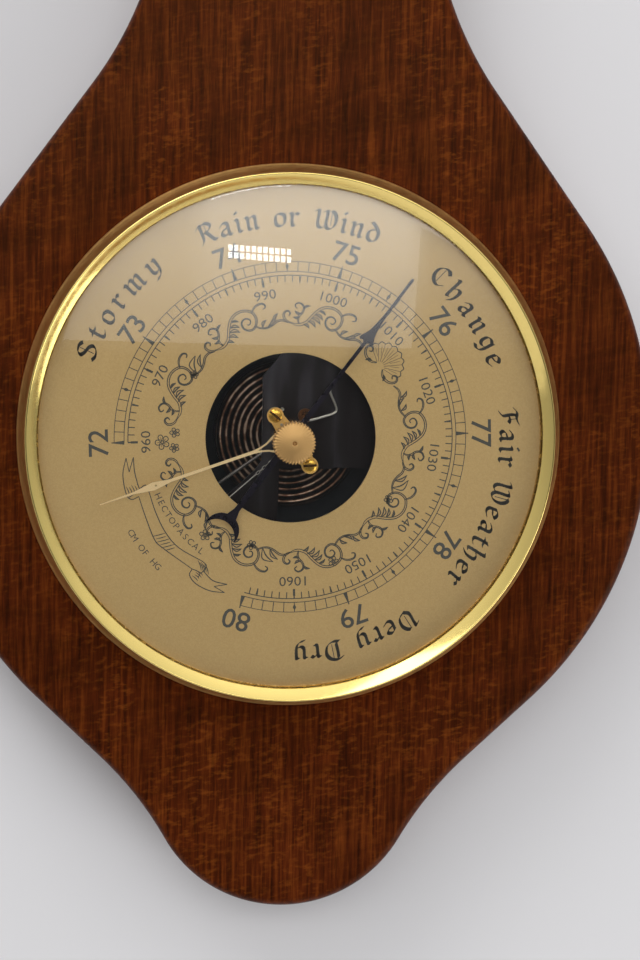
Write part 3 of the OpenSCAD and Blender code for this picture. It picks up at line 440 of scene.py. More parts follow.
def make_board():
    bm = bmesh.new()
    levels = [(EDGE_R * (1 - math.cos(math.radians(a))), -EDGE_R * (1 - math.sin(math.radians(a))))
              for a in range(0, 91, 15)]
    loops = []
    for inset, z in [(0, -BOARD_T)] + levels:
        verts = [bm.verts.new((x, y, z)) for x, y in outline(inset)]
        loops.append([bm.edges.new((a, b)) for a, b in zip(verts, verts[1:] + verts[:1])])
    for low, high in zip(loops, loops[1:]):
        bmesh.ops.bridge_loops(bm, edges=low + high)
    bmesh.ops.holes_fill(bm, edges=loops[0] + loops[-1], sides=0)
    bmesh.ops.recalc_face_normals(bm, faces=bm.faces)
    return bm


def cut_out(obj, cutters):
    for bm in cutters:
        bm.transform(BENCH)
        tool = put("cut", to_mesh(bm, "cut"))
        mod = obj.modifiers.new("cut", "BOOLEAN")
        mod.operation, mod.solver, mod.object = "DIFFERENCE", "EXACT", tool
        bpy.context.view_layer.update()
        cut = obj.evaluated_get(bpy.context.evaluated_depsgraph_get())
        done = bpy.data.meshes.new_from_object(cut)
        obj.modifiers.clear()
        obj.data = done
        bpy.data.objects.remove(tool)


def slab(w, y0, y1, z0, z1):
    bm = bmesh.new()
    bmesh.ops.create_cube(bm, size=1)
    bmesh.ops.scale(bm, vec=(w, y1 - y0, z1 - z0), verts=bm.verts)
    bmesh.ops.translate(bm, vec=(0, (y0 + y1) / 2, (z0 + z1) / 2), verts=bm.verts)
    return bm


board = finish_piece("Board_mahogany", make_board(), "case", MAHOGANY, ["board"], 30)
recess = (-BOARD_T - 1, -BOARD_T + RECESS_DEEP)
cut_out(board, [cutter(HOLE_R, 0, 0, -BOARD_T - 1, 1, 192),
                cutter(RECESS_R, 0, RECESS_LOW, *recess),
                slab(2 * RECESS_R, RECESS_LOW, DIAL_DROP, *recess)])
board.data.polygons.foreach_set("use_smooth", [True] * len(board.data.polygons))
board.data.set_sharp_from_angle(angle=math.radians(30))
print("board faces after the cuts:", len(board.data.polygons))

# %% [markdown]
# ## The bezel
# The bezel is spun from sheet brass on a lathe: a hollow flank rises from the wood, turns over a
# narrow lip, and falls inwards as a flat bright ring to the glass. The ring is polished and the
# flank only brushed, so the faces that look outward get a second skin. A profile turned round the
# axis in fine steps gives clean reflections.

# %% Bezel
BEZEL_R, BEZEL_IN, RING_OUT, RING_IN = 75.0, 73.4, 72.2, 69.4
RING_LOW, RING_HIGH, LIP_BACK, GLASS_SEAT = 6.5, 9.0, 6.0, 4.4
GLASS_R, GLASS_ROOM, GLASS_RISE, GLASS_HOLE = 70.9, 71.2, 7.0, 2.0

flank = arc(BEZEL_R + 9, RING_HIGH - 0.6, 11.45, 212, 180, 20)
lip = arc(RING_OUT, RING_HIGH - 0.35, 0.35, 0, 135, 8)
bezel_profile = ([(BEZEL_IN, 0.0), (BEZEL_R, 0.0), (BEZEL_R, 1.0), (BEZEL_R - 0.12, 1.3),
                  (BEZEL_R - 0.35, 1.5)] + flank + lip
                 + [(RING_IN + 0.15, RING_LOW + 0.15), (RING_IN, RING_LOW), (RING_IN, LIP_BACK),
                    (GLASS_ROOM, LIP_BACK), (GLASS_ROOM + 0.1, GLASS_SEAT), (BEZEL_IN, 1.0),
                    (BEZEL_IN, 0.0)])
bezel = finish_piece("Bezel_spun_brass", spun(bezel_profile, 360), "case", BEZEL_BRASS, ["bezel"],
                     30)
bezel.data.materials.append(FLANK_BRASS)
for face in bezel.data.polygons:
    spot = BENCH.inverted() @ face.center
    outward = (BENCH.inverted().to_3x3() @ face.normal).xy.dot(spot.xy) > 0
    if outward and spot.z < RING_HIGH - 0.6 and spot.xy.length > RING_OUT + 0.3:
        face.material_index = 1

# %% [markdown]
# ## The domed glass
# The glass is pressed to a shallow dome of even thickness, ground flat at its rim and drilled for
# the set hand. A dome mirrors the room small and bent, which a flat pane wouldn't, so it is turned
# from its real section, front and back.

# %% Domed glass
def dome(r):
    return GLASS_RISE * (1 - (r / DOME_EDGE) ** 2)


DOME_EDGE = RING_IN - 0.1
radii = [GLASS_HOLE + (DOME_EDGE - GLASS_HOLE) * k / 40 for k in range(41)]
glass_profile = ([(r, LIP_BACK + dome(r)) for r in radii]
                 + [(GLASS_R, LIP_BACK), (GLASS_R, GLASS_SEAT)]
                 + [(r, GLASS_SEAT + dome(r)) for r in radii[::-1]]
                 + [(GLASS_HOLE, LIP_BACK + dome(GLASS_HOLE))])
finish_piece("Glass_dome", spun(glass_profile, 360), "case", GLASS, ["domed_glass"], 30)

# %% [markdown]
# ## The dial
# The dial is a disc with an open centre, whose edge catches a fine line of light. It is turned
# from a profile with a small bevel there. The two scales are tied to it by their angles.

# %% Dial disc and scale values
DIAL_BACK, DIAL_FRONT, DIAL_R, OPENING_R = 2.2, 3.0, 70.0, 23.4
PRINT_Z = DIAL_FRONT + 0.02
FIRST_CM, LAST_CM, FIRST_ANGLE, CM_STEP = 72, 80, 267.7, 36.0
FIRST_HPA, LAST_HPA, HPA_STEP = 960, 1066, CM_STEP / 13.332
finish_piece("Dial_disc", spun([(OPENING_R, DIAL_BACK), (OPENING_R, DIAL_FRONT - 0.05),
             (OPENING_R + 0.05, DIAL_FRONT), (DIAL_R, DIAL_FRONT), (DIAL_R, DIAL_BACK),
             (OPENING_R, DIAL_BACK)], 256), "case", DIAL_GOLD, ["dial_plate"])


def cm_angle(cm):
    return FIRST_ANGLE + (cm - FIRST_CM) * CM_STEP


def hpa_angle(hpa):
    return FIRST_ANGLE + (hpa - FIRST_HPA) * HPA_STEP


print("scale runs from", cm_angle(FIRST_CM), "to", cm_angle(LAST_CM) % 360)

# %% [markdown]
# ## The scales
# The dial is printed in one dark ink. An image could carry the print, but flat shapes a few
# hundredths of a millimetre above the disc stay sharp at any size. The scales are spun arcs and
# ticks: an outer ladder in centimetres of mercury and an inner comb in hectopascals.

# %% Rings and ticks
def ring_band(bm, r, width, a0, a1):
    """A thin arc: one short edge across the line, spun round the axis."""
    ends = [bm.verts.new(clock(a0, r + s * width / 2, PRINT_Z)) for s in (-1, 1)]
    edge = bm.edges.new(ends)
    bmesh.ops.spin(bm, geom=ends + [edge], cent=(0, 0, 0), axis=(0, 0, -1),
                   angle=math.radians(a1 - a0), steps=max(8, int((a1 - a0) / 1.5)))


def tick(bm, angle, r0, r1, w0, w1):
    """A radial mark from radius r0 to r1, w0 wide at its start and w1 at its end."""
    out = clock(angle, 1.0)
    side = Vector((out.y, -out.x, 0))
    corners = [out * r0 - side * w0 / 2, out * r0 + side * w0 / 2,
               out * r1 + side * w1 / 2, out * r1 - side * w1 / 2]
    bm.faces.new([bm.verts.new((c.x, c.y, PRINT_Z)) for c in corners])


# The ticks of both scales, at each tenth, each fifth and each mark: from and to beyond the ring,
# and the width at both ends.
LADDER_OUT, LADDER_IN, COMB_R = 48.3, 45.6, 44.55
LADDER_TICKS = {10: [(-0.05, 2.5, 1.15, 0.45), (2.4, 3.45, 0.4, 0.3)],
                5: [(0, 0.7, 0.2, 0.3), (0.7, 1.35, 0.35, 0.95), (1.35, 2.0, 0.95, 0.35),
                    (2.0, 2.7, 0.3, 0.2)],
                1: [(0, 2.7, 0.23, 0.23)]}
COMB_TICKS = {10: [(-0.9, 0, 0.36, 0.36), (-2.7, -0.8, 0.6, 0.66)],
              5: [(-2.0, -0.2, 0.3, 0.6)], 1: [(-1.8, 0, 0.28, 0.28)]}


def ticks(bm, angle, number, ring, kinds):
    kind = next(step for step in (10, 5, 1) if number % step == 0)
    for r0, r1, w0, w1 in kinds[kind]:
        tick(bm, angle, ring + r0, ring + r1, w0, w1)


scale = bmesh.new()
for r, w in ((LADDER_OUT, 0.2), (LADDER_IN, 0.22), (COMB_R, 0.26)):
    ring_band(scale, r, w, FIRST_ANGLE, cm_angle(LAST_CM))
for k in range((LAST_CM - FIRST_CM) * 10 + 1):
    ticks(scale, FIRST_ANGLE + k * CM_STEP / 10, k, LADDER_IN, LADDER_TICKS)
for hpa in range(FIRST_HPA, LAST_HPA + 1):
    ticks(scale, hpa_angle(hpa), hpa, COMB_R, COMB_TICKS)
for face in scale.faces:
    face.normal_update()
    if face.normal.z < 0:
        face.normal_flip()
finish_piece("Print_scales", scale, "case", INK)

# %% [markdown]
# ## Numbers
# The numbers are set in a plain face that stands upright on each mark, as dial printers do. Text
# is made a mesh first and then turned into place, because a flat curve loses its place on export.

# %% Lettering
def set_text(bm, text, height, place, turn, squeeze=1.0, z=PRINT_Z, bold=0.0):
    """Adds text to bm, centred on a bench place, turned clockwise by turn degrees."""
    curve = bpy.data.curves.new("line", "FONT")
    curve.body, curve.size = text, 1.0
    curve.align_x, curve.align_y = "CENTER", "CENTER"
    curve.offset = bold
    curve.resolution_u = 3
    holder = put("line", curve)
    mesh = bpy.data.meshes.new_from_object(holder)
    low = min(v.co.y for v in mesh.vertices)
    high = max(v.co.y for v in mesh.vertices)
    k = height / (high - low)
    mesh.transform(Matrix.Translation((place[0], place[1], z))
                   @ Matrix.Rotation(math.radians(-turn), 4, "Z")
                   @ Matrix.Diagonal((k * squeeze, k, 1, 1))
                   @ Matrix.Translation((0, -(low + high) / 2, 0)))
    bm.from_mesh(mesh)
    bpy.data.objects.remove(holder)
    bpy.data.curves.remove(curve)


CM_HIGH, CM_TEXT_R, HPA_HIGH, HPA_TEXT_R = 5.5, 52.6, 2.6, 39.7
numbers = bmesh.new()
for cm in range(FIRST_CM, LAST_CM + 1):
    a = cm_angle(cm)
    set_text(numbers, str(cm), CM_HIGH, clock(a, CM_TEXT_R), a, 1.04, bold=0.008)
for hpa in range(FIRST_HPA, LAST_HPA, 10):
    a = hpa_angle(hpa)
    set_text(numbers, str(hpa), HPA_HIGH, clock(a, HPA_TEXT_R), a, 1.12)
finish_piece("Print_numbers", numbers, "case", INK)

# %% [markdown]
# ## Pens for the print
# The rest of the print is drawn like ink on paper. One pen is a fine point whose line swells a
# little in the middle. The other is a broad nib that is held at one angle, so that its strokes
# swell and thin by themselves, as a sign writer's do. Both follow a smooth curve through a few
# points.

# %% The fine pen and the broad nib
NIB_X, NIB_Y = 1.1, 0.82
PEN_WEIGHT = 1.35
NIB_HALF = Vector((0.74, 0.8)) / 2
NIB_THIN = 0.2


def as_drawn(point):
    return point


def flow(points, steps=4):
    """A smooth curve through points, which may be written as the text "x y, x y"."""
    if isinstance(points, str):
        points = [[float(value) for value in pair.split()] for pair in points.split(",")]
    p = [Vector(q) for q in points]
    if len(p) < 3:
        return p
    p = [2 * p[0] - p[1]] + p + [2 * p[-1] - p[-2]]
    line = []
    for a, b, c, d in zip(p, p[1:], p[2:], p[3:]):
        for k in range(steps):
            t = k / steps
            line.append(0.5 * (2 * b + (c - a) * t + (2 * a - 5 * b + 4 * c - d) * t * t
                               + (3 * b - a - 3 * c + d) * t ** 3))
    return line + [p[-2]]


def ink_face(bm, corners, z=PRINT_Z):
    area = sum(a[0] * b[1] - b[0] * a[1] for a, b in zip(corners, corners[1:] + corners[:1]))
    if abs(area) > 1e-5:
        order = corners if area > 0 else corners[::-1]
        bm.faces.new([bm.verts.new((p[0], p[1], z)) for p in order])


def pen(bm, points, ends=0.13, middle=0.24, where=as_drawn):
    line = [Vector(where(p)[:2]) for p in flow(points)]
    sides = []
    for k, p in enumerate(line):
        way = (line[min(k + 1, len(line) - 1)] - line[max(k - 1, 0)]).normalized()
        half = PEN_WEIGHT * (ends + (middle - ends) * math.sin(math.pi * k / (len(line) - 1))) / 2
        sides.append((p + Vector((-way.y, way.x)) * half, p - Vector((-way.y, way.x)) * half))
    for (a, b), (c, d) in zip(sides, sides[1:]):
        ink_face(bm, [a, b, d, c])


def nib(bm, points, where):
    line = flow(points)
    for a, b in zip(line, line[1:]):
        ink_face(bm, [where(q) for q in (a - NIB_HALF, a + NIB_HALF, b + NIB_HALF, b - NIB_HALF)])
        side = 1 if (b - a).dot(NIB_HALF) > 0 else -1
        low, high = a - NIB_HALF * side, b + NIB_HALF * side
        way = (high - low).normalized()
        edge = Vector((-way.y, way.x)) * NIB_THIN / 2
        ink_face(bm, [where(q) for q in (low - edge, high - edge, high + edge, low + edge)])


print("a nib unit is", NIB_X, "mm along the line and", NIB_Y, "mm across it")

# %% [markdown]
# ## Weather words
# Round the rim stand five plain weather words in blackletter. Each letter is its width and a few
# strokes, written in nib widths above the line, and a pair of points in a tuple is a hairline. A
# word is spread over the arc that it fills.

# %% Letters as strokes
def minim(x):
    return [(x - 0.5, 4.7), (x, 4.2), (x, 0.9), (x + 0.6, 0.35)]


def arch(x):
    return [(x, 3.3), (x + 1.05, 4.6), (x + 1.75, 4.2), (x + 1.75, 0.9), (x + 2.35, 0.35)]


LETTERS = {
    "a": (2.9, ["0.3 3.8, 1.0 4.6, 2.0 4.1, 2.0 0.9, 2.6 0.35",
                "2.0 2.9, 0.6 2.3, 0.2 1.3, 0.8 0.45, 2.0 1.3"]),
    "d": (2.7, ["0.2 6.7, 1.5 5.3, 2.35 3.8, 2.3 1.3, 1.2 0.4",
                "1.5 4.5, 0.2 3.7, 0.2 1.3, 1.2 0.4"]),
    "e": (2.4, ["0.2 3.9, 0.2 1.2, 1.1 0.4, 2.2 1.1",
                "0.2 3.9, 1.2 4.6, 2.1 3.9, 1.6 3.0, 0.3 2.4"]),
    "g": (2.7, ["2.2 4.1, 1.1 4.6, 0.2 3.8, 0.2 1.6, 1.1 0.8, 2.2 1.7",
                "2.2 4.6, 2.25 0.2, 1.3 -1.2, 0.1 -0.8"]),
    "h": (2.8, ["-0.1 7.0, 0.3 6.4, 0.3 0.9, 0.8 0.35",
                "0.3 3.2, 1.3 4.5, 2.2 4.1, 2.2 1.4, 1.5 -0.5"]),
    "i": (1.2, [minim(0.4), "0.15 6.9, 0.55 6.5"]),
    "m": (4.6, [minim(0.4), arch(0.4), arch(2.15)]),
    "n": (2.9, [minim(0.4), arch(0.4)]),
    "o": (2.5, ["1.2 4.6, 0.2 3.8, 0.2 1.2, 1.2 0.4, 2.25 1.3, 2.25 3.8, 1.2 4.6"]),
    "r": (2.0, [minim(0.4), "0.4 3.3, 1.3 4.6, 2.0 4.1"]),
    "t": (1.8, ["0.6 5.9, 0.5 5.2, 0.5 1.1, 1.2 0.4, 1.9 1.0", "-0.3 4.3, 1.6 4.3"]),
    "y": (2.8, ["-0.1 4.7, 0.4 4.2, 0.4 1.4, 1.2 0.6, 2.2 1.3",
                "1.8 4.8, 2.3 4.3, 2.2 0.6, 1.3 -0.9, 0.2 -1.3"]),
    "C": (3.6, ["3.3 5.5, 2.5 6.6, 1.2 6.3, 0.3 4.9, 0.2 2.6, 1.0 0.9, 2.3 0.3, 3.4 1.3",
                ((1.7, 6.0), (1.6, 1.2))]),
    "D": (3.9, ["-0.1 6.1, 1.4 6.7, 2.9 5.9, 3.6 4.0, 3.1 1.5, 1.6 0.4, 0.0 0.6",
                "0.9 6.2, 0.8 3.4, 0.9 1.0", ((2.0, 6.0), (2.0, 1.2))]),
    "F": (3.5, ["-0.2 5.6, 0.8 6.5, 2.0 6.1, 3.4 6.7", "1.3 6.2, 1.1 4.2, 1.2 1.5, 0.1 0.5",
                "1.2 3.6, 2.3 3.9, 3.0 3.3", ((2.2, 6.0), (2.2, 4.2))]),
    "R": (4.0, ["-0.1 5.6, 0.8 6.6, 0.9 5.4, 0.8 1.5, 0.1 0.5",
                "0.9 6.1, 2.2 6.7, 3.3 5.6, 2.7 4.2, 1.2 3.6",
                "1.9 3.7, 2.7 2.0, 3.3 0.7, 4.0 0.5", ((2.0, 6.1), (2.0, 4.2))]),
    "S": (3.6, ["3.3 5.9, 2.3 6.7, 0.9 6.3, 0.4 5.1, 1.2 4.1, 2.7 3.4, 3.4 2.2, 2.8 0.9, "
                "1.3 0.3, 0.1 1.0", ((1.9, 6.1), (1.8, 1.1))]),
    "V": (3.9, ["-0.2 5.9, 0.6 6.4, 0.7 5.0, 0.6 1.8, 1.7 0.4",
                "1.7 0.4, 3.3 1.6, 3.6 4.2, 2.9 6.0, 2.1 6.6",
                ((1.9, 6.0), (1.9, 1.6))]),
    "W": (5.3, ["-0.1 6.0, 0.6 6.3, 0.7 5.0, 0.6 1.6, 1.5 0.4, 2.5 1.4",
                "1.9 6.0, 2.6 6.3, 2.7 5.0, 2.6 1.6, 3.5 0.4, 4.6 1.6, 4.9 4.0, 4.4 5.8, 3.6 6.6",
                ((3.7, 6.0), (3.7, 1.6))]),
    " ": (1.6, []),
}
WORDS = [("Stormy", -69.5, -38), ("Rain or Wind", -25.5, 22.5), ("Change", 40, 69.5),
         ("Fair Weather", 82, 131), ("Very Dry", 144.5, 178)]
WORD_R = 57.6


def write_word(bm, word, first, last):
    arc_length = math.radians(last - first) * WORD_R / NIB_X
    gap = (arc_length - sum(LETTERS[c][0] for c in word)) / (len(word) - 1)
    x = 0.0
    for letter in word:
        def where(p, x=x):
            along = math.degrees((x + p[0]) * NIB_X / WORD_R)
            return clock(first + along, WORD_R + p[1] * NIB_Y)
        for stroke in LETTERS[letter][1]:
            if isinstance(stroke, tuple):
                pen(bm, stroke, 0.16, 0.18, where)
            else:
                nib(bm, stroke, where)
        x += LETTERS[letter][0] + gap


words = bmesh.new()
for word, first, last in WORDS:
    write_word(words, word, first, last)
finish_piece("Print_words", words, "case", INK)

# %% [markdown]
# ## Units and the ribbon
# Where the scales leave a gap, two unit names follow the circle with their feet outward, on both
# sides of a printed ribbon with forked ends. The ribbon is line work: two edges, two folds with
# shading lines, and the forks.

# %% Units and ribbon
UNIT_HEIGHT = 1.75
units = bmesh.new()
for text, radius, first, last in (("HECTOPASCAL", 39.6, 245.5, 217.5),
                                  ("CM OF HG", 50.8, 238.5, 225.0)):
    for k, letter in enumerate(text):
        a = first + (last - first) * k / (len(text) - 1)
        if letter != " ":
            set_text(units, letter, UNIT_HEIGHT, clock(a, radius), a + 180)
finish_piece("Print_units", units, "case", INK)

RIBBON = [
    "-38.5 -15.6, -36.8 -20.7, -34.1 -26.2, -30.3 -30.6, -23.6 -34.4",
    "-41.4 -16.6, -39.4 -22.4, -37.0 -28.3, -34.7 -30.7, -26.5 -36.5",
    "-45.0 -6.0, -45.8 -10.7, -44.8 -16.0, -43.3 -17.4, -41.4 -16.6",
    "-43.0 -5.8, -42.6 -9.9, -41.4 -14.2",
    "-44.0 -16.9, -42.0 -15.3, -39.6 -13.4, -38.5 -15.6",
    "-45.0 -6.0, -44.1 -9.9", "-44.1 -9.9, -43.0 -5.8",
    "-23.6 -34.4, -22.6 -35.6, -23.6 -37.2, -24.4 -37.7",
    "-26.5 -36.5, -27.2 -38.2, -25.4 -40.6, -21.6 -42.5, -17.5 -43.0",
    "-26.5 -36.5, -25.2 -37.0, -24.4 -37.7, -24.8 -38.8",
    "-23.4 -37.1, -20.7 -39.7, -16.8 -40.7",
    "-16.8 -40.7, -20.4 -41.3", "-20.4 -41.3, -17.5 -43.0",
]
FOLDS = [((-37.6, -27.6), (-34.0, -26.6), 6, (0.62, -0.78)),
         ((-44.9, -13.9), (-43.9, -16.6), 5, (0.75, 0.2)),
         ((-25.0, -34.0), (-24.0, -36.9), 5, (0.5, -0.28)),
         ((-26.5, -38.3), (-24.9, -39.8), 4, (0.5, 0.45))]
ribbon = bmesh.new()
for edge_line in RIBBON:
    pen(ribbon, edge_line, 0.17, 0.22)
for (x0, y0), (x1, y1), count, (dx, dy) in FOLDS:
    for k in range(count):
        short = 0.12 * (k % 2)
        pen(ribbon, [(x0 + dx * k + short * (x1 - x0), y0 + dy * k + short * (y1 - y0)),
                     ((x0 + x1) / 2 + dx * k + 0.2, (y0 + y1) / 2 + dy * k),
                     (x1 + dx * k - short * (x1 - x0), y1 + dy * k - short * (y1 - y0))], 0.08, 0.2)
finish_piece("Print_ribbon", ribbon, "case", INK)

# %% [markdown]
# ## The ornament ring
# Between the opening and the numbers runs a ring of traditional scroll work: hollow stems that
# roll up, leaves, small flowers and a shell. An engraver draws each motif once and repeats it, so
# each is drawn here in a local frame, along and across the ring.

# %% Motifs of the ring
RING_R = 34.0


def at(angle, hand=1, size=1.0):
    def where(p):
        return clock(angle + math.degrees(hand * p[0] * size / RING_R), RING_R + p[1] * size)
    return where


def hollow(bm, points, gap, where, tail=0.12):
    """Two fine lines side by side that close up towards the end, like a rolled stem."""
    line = flow(points, 3)
    for side in (-1, 1):
        edge = []
        for k, p in enumerate(line):
            way = (line[min(k + 1, len(line) - 1)] - line[max(k - 1, 0)]).normalized()
            room = gap * (1 - (1 - tail) * k / (len(line) - 1)) * min(1.0, 0.25 + k / 4)
            edge.append(p + Vector((-way.y, way.x)) * room * side)
        pen(bm, edge[::2] + ([edge[-1]] if len(edge) % 2 == 0 else []), 0.15, 0.22, where)


def leaf(bm, base, tip, bow, where):
    """A pointed lobe: two edges that bow to one side, and a vein."""
    b, t = Vector(base), Vector(tip)
    side = Vector((-(t - b).y, (t - b).x)) * bow
    pen(bm, [b, (b + t) / 2 + side, t], 0.12, 0.26, where)
    pen(bm, [b, (b + t) / 2 + side * 0.25, t], 0.12, 0.3, where)


STEM_LEAVES = [((2.9, 0.2), (1.0, 0.9), 0.3), ((3.2, 1.4), (5.0, 2.6), 0.25),
               ((2.4, -0.6), (0.6, -0.8), 0.3), ((4.8, -1.6), (7.4, -3.0), 0.3),
               ((5.6, -0.7), (8.6, -1.9), 0.3), ((6.4, 0.4), (9.0, -0.6), 0.28),
               ((7.4, 1.6), (9.4, 0.9), 0.25), ((3.6, -2.6), (5.6, -3.6), 0.3)]
FULL_TAIL = [((15.2, -2.9), (16.8, -0.9), 0.3), ((16.6, -3.0), (18.6, -0.9), -0.3),
             ((19.0, -1.9), (20.2, 0.4), 0.3)]
BARE_TAIL = [((14.6, -2.8), (18.4, 0.6), 0.35), ((16.8, -3.0), (19.6, -0.2), 0.25)]


def scroll(bm, angle, hand, leafy):
    where = at(angle, hand)
    hollow(bm, "0 -2.4, 2.2 -2.9, 4.6 -1.9, 6.2 0.4, 8.2 2.6, 11.0 3.3, 13.6 1.9, 14.0 -0.8, "
               "12.3 -2.5, 10.2 -1.8, 9.9 0.1, 11.2 1.0, 12.4 0.2, 12.0 -0.9, 11.2 -0.7",
           0.36, where)
    hollow(bm, "0 -2.4, -1.6 -1.6, -2.0 0.0, -1.0 0.9, -0.2 0.2, -0.7 -0.5", 0.3, where)
    hollow(bm, "23.0 -2.4, 20.6 -1.5, 18.2 -2.6, 15.6 -3.1, 13.2 -1.9", 0.26, where, 0.5)
    hollow(bm, "2.4 -2.7, 2.0 -1.0, 3.1 0.6, 3.3 2.2, 2.0 3.1, 1.0 2.3, 1.7 1.6", 0.26, where)
    hollow(bm, "13.4 2.0, 14.8 3.4, 16.6 3.6, 17.2 2.6, 16.4 2.1", 0.24, where)
    for base, tip, bow in STEM_LEAVES + (FULL_TAIL if leafy else BARE_TAIL):
        leaf(bm, base, tip, bow, where)


PETALS = 5
PETAL = [(0.35, 0), (0.75, -0.45), (1.25, -0.4), (1.45, 0), (1.25, 0.4), (0.75, 0.45), (0.35, 0)]


def rosette(bm, angle, v, size):
    where = at(angle)
    for k in range(PETALS):
        a = math.tau * k / PETALS + 0.4
        c, s = size * math.cos(a), size * math.sin(a)
        pen(bm, [(r * c - w * s, v + r * s + w * c) for r, w in PETAL], 0.14, 0.2, where)
        pen(bm, [(r * c, v + r * s) for r in (0.5, 1.0)], 0.1, 0.16, where)
    eye = [(0.3 * size * math.cos(t), v + 0.3 * size * math.sin(t))
           for t in (0, 1.57, 3.14, 4.71, 6.28)]
    pen(bm, eye, 0.2, 0.2, where)


RIBS = 8


def shell(bm, angle, size):
    def fan(k, wide, high):
        a = math.radians(160 - 140 * k / RIBS)
        return wide * math.cos(a), -2.6 + high * math.sin(a)

    where = at(angle, 1, size)
    for k in range(RIBS + 1):
        rim = fan(k, 5.4, 6.0)
        pen(bm, [fan(k, 1.4, 1.2), rim], 0.1, 0.28, where)
        if k:
            half = k - 0.5
            pen(bm, [fan(k - 1, 5.4, 6.0), fan(half, 5.9, 6.5), rim], 0.16, 0.22, where)
            pen(bm, [fan(half, 2.6, 2.9), fan(half, 4.8, 5.4)], 0.08, 0.14, where)
    for hand in (-1, 1):
        side = at(angle, hand, size)
        hollow(bm, "1.2 -2.4, 3.0 -3.4, 5.2 -2.8, 6.0 -1.2, 4.9 -0.4, 4.2 -1.2, 4.9 -1.7",
               0.3, side)
        leaf(bm, (2.4, -3.0), (4.0, -4.0), 0.3, side)


print("leaves on a full scroll:", len(STEM_LEAVES + FULL_TAIL))

# %% [markdown]
# ## Setting the motifs
# The scrolls run one way up the right half of the ring and the other way round the rest, and the
# shell and the flowers fill the places between. All are joined to one piece, as one printing.

# %% Set the motifs round the ring
ornament = bmesh.new()
for start, leafy in ((279, False), (319, True), (-1, True)):
    scroll(ornament, start, 1, leafy)
for start, leafy in ((101, True), (140, False), (179, True), (218, False), (256, True)):
    scroll(ornament, start, -1, leafy)
shell(ornament, 50.0, 1.1)
for angle, v, size in ((267.5, 1.2, 1.35), (264.5, -2.0, 0.9), (272.0, -2.2, 0.95),
                       (220.5, 1.6, 1.0), (160.0, 2.2, 0.9), (121.5, -2.0, 0.85),
                       (302.5, -2.3, 0.8), (199.0, -2.6, 0.9)):
    rosette(ornament, angle, v, size)
finish_piece("Print_ornament", ornament, "case", INK)

# %% [markdown]
# ## The capsule
# The aneroid capsule is a flat can of thin metal whose lid is pressed into rings, so that it can
# breathe: its middle moves with the lid's stud and its rim stays on the drum. Dark lacquer covers
# it, and it is worn to warm metal on the crests, whose tops carry a painted highlight. Turning a
# rippled profile round the axis gives the smooth rings that the light runs along.

# %% Rippled capsule lid
CAPSULE_MID, CAPSULE_RIM, CAPSULE_R, SHEET_T = -8.95, -10.2, 20.5, 0.4
CREST_FIRST, CREST_PITCH, CRESTS, CREST_H = 6.9, 1.72, 8, 0.44
# Between the first two heights the lid goes up the coat's stops: worn copper, then a painted
# highlight on the crests.
WEAR_AND_GLINT_FROM, WEAR_AND_GLINT_FULL, LID_FIXED, LID_FREE = -9.05, -8.55, -10.05, -9.45
ripple_start = CREST_FIRST - CREST_PITCH / 2
ripple_end = CREST_FIRST + CREST_PITCH * (CRESTS - 0.5)


def ripple(r):
    if not ripple_start < r < ripple_end:
        return -CREST_H
    phase = math.cos(math.tau * (r - CREST_FIRST) / CREST_PITCH)
    return CREST_H * (2 * (0.5 + 0.5 * phase) ** 0.75 - 1)


waves = [(r, CAPSULE_MID + ripple(r)) for r in
         [ripple_start + (ripple_end - ripple_start) * k / 96 for k in range(97)]]
lid_front = ([(0.0, CAPSULE_MID + 0.5), (4.3, CAPSULE_MID + 0.5), (4.7, CAPSULE_MID + 0.3)]
             + waves + [(CAPSULE_R - SHEET_T, CAPSULE_MID - CREST_H),
                        (CAPSULE_R, CAPSULE_MID - CREST_H - 0.3)])
lid_back = [(CAPSULE_R, CAPSULE_RIM), (CAPSULE_R - 2 * SHEET_T, CAPSULE_RIM)] + [
    (r, z - SHEET_T) for r, z in lid_front[-3::-6]] + [(0.0, CAPSULE_MID + 0.1)]
lid = spun(lid_front + lid_back, 192)
# Each point keeps its height on the ridge, which lifts the coat to worn copper and a painted
# highlight.
crest_layer = lid.verts.layers.float.new("crest")
for vert in lid.verts:
    vert[crest_layer] = min(1.0, max(0.0, (vert.co.z - WEAR_AND_GLINT_FROM) / (WEAR_AND_GLINT_FULL - WEAR_AND_GLINT_FROM)))
lid_bend = [BENCH @ Vector((0, 0, z)) for z in (LID_FIXED, LID_FREE)]
finish_piece("Capsule_lid", lid, ("case", "capsule_top", *lid_bend), LACQUER,
             ["capsule_diaphragm"])

# %% [markdown]
# ## The knob of the set hand
# The knob is turned from brass, knurled with rounded flutes that run right to its face, and its
# face rises as a shallow cone to a small centre mark. Rings of one scalloped outline, each a
# little smaller, are bridged up the side and over the cone.

# %% Fluted knob
KNOB_R, KNOB_BACK, KNOB_FRONT, FLUTES, FLUTE_DEEP = 5.85, 14.1, 19.7, 40, 0.55


def flute_ring(bm, z, scale, deep):
    ring = []
    for k in range(FLUTES * 8):
        a = math.tau * k / (FLUTES * 8)
        r = KNOB_R * scale - deep * (0.5 + 0.5 * math.cos(a * FLUTES))
        ring.append(bm.verts.new((r * math.cos(a), r * math.sin(a), z)))
    return [bm.edges.new((a, b)) for a, b in zip(ring, ring[1:] + ring[:1])]


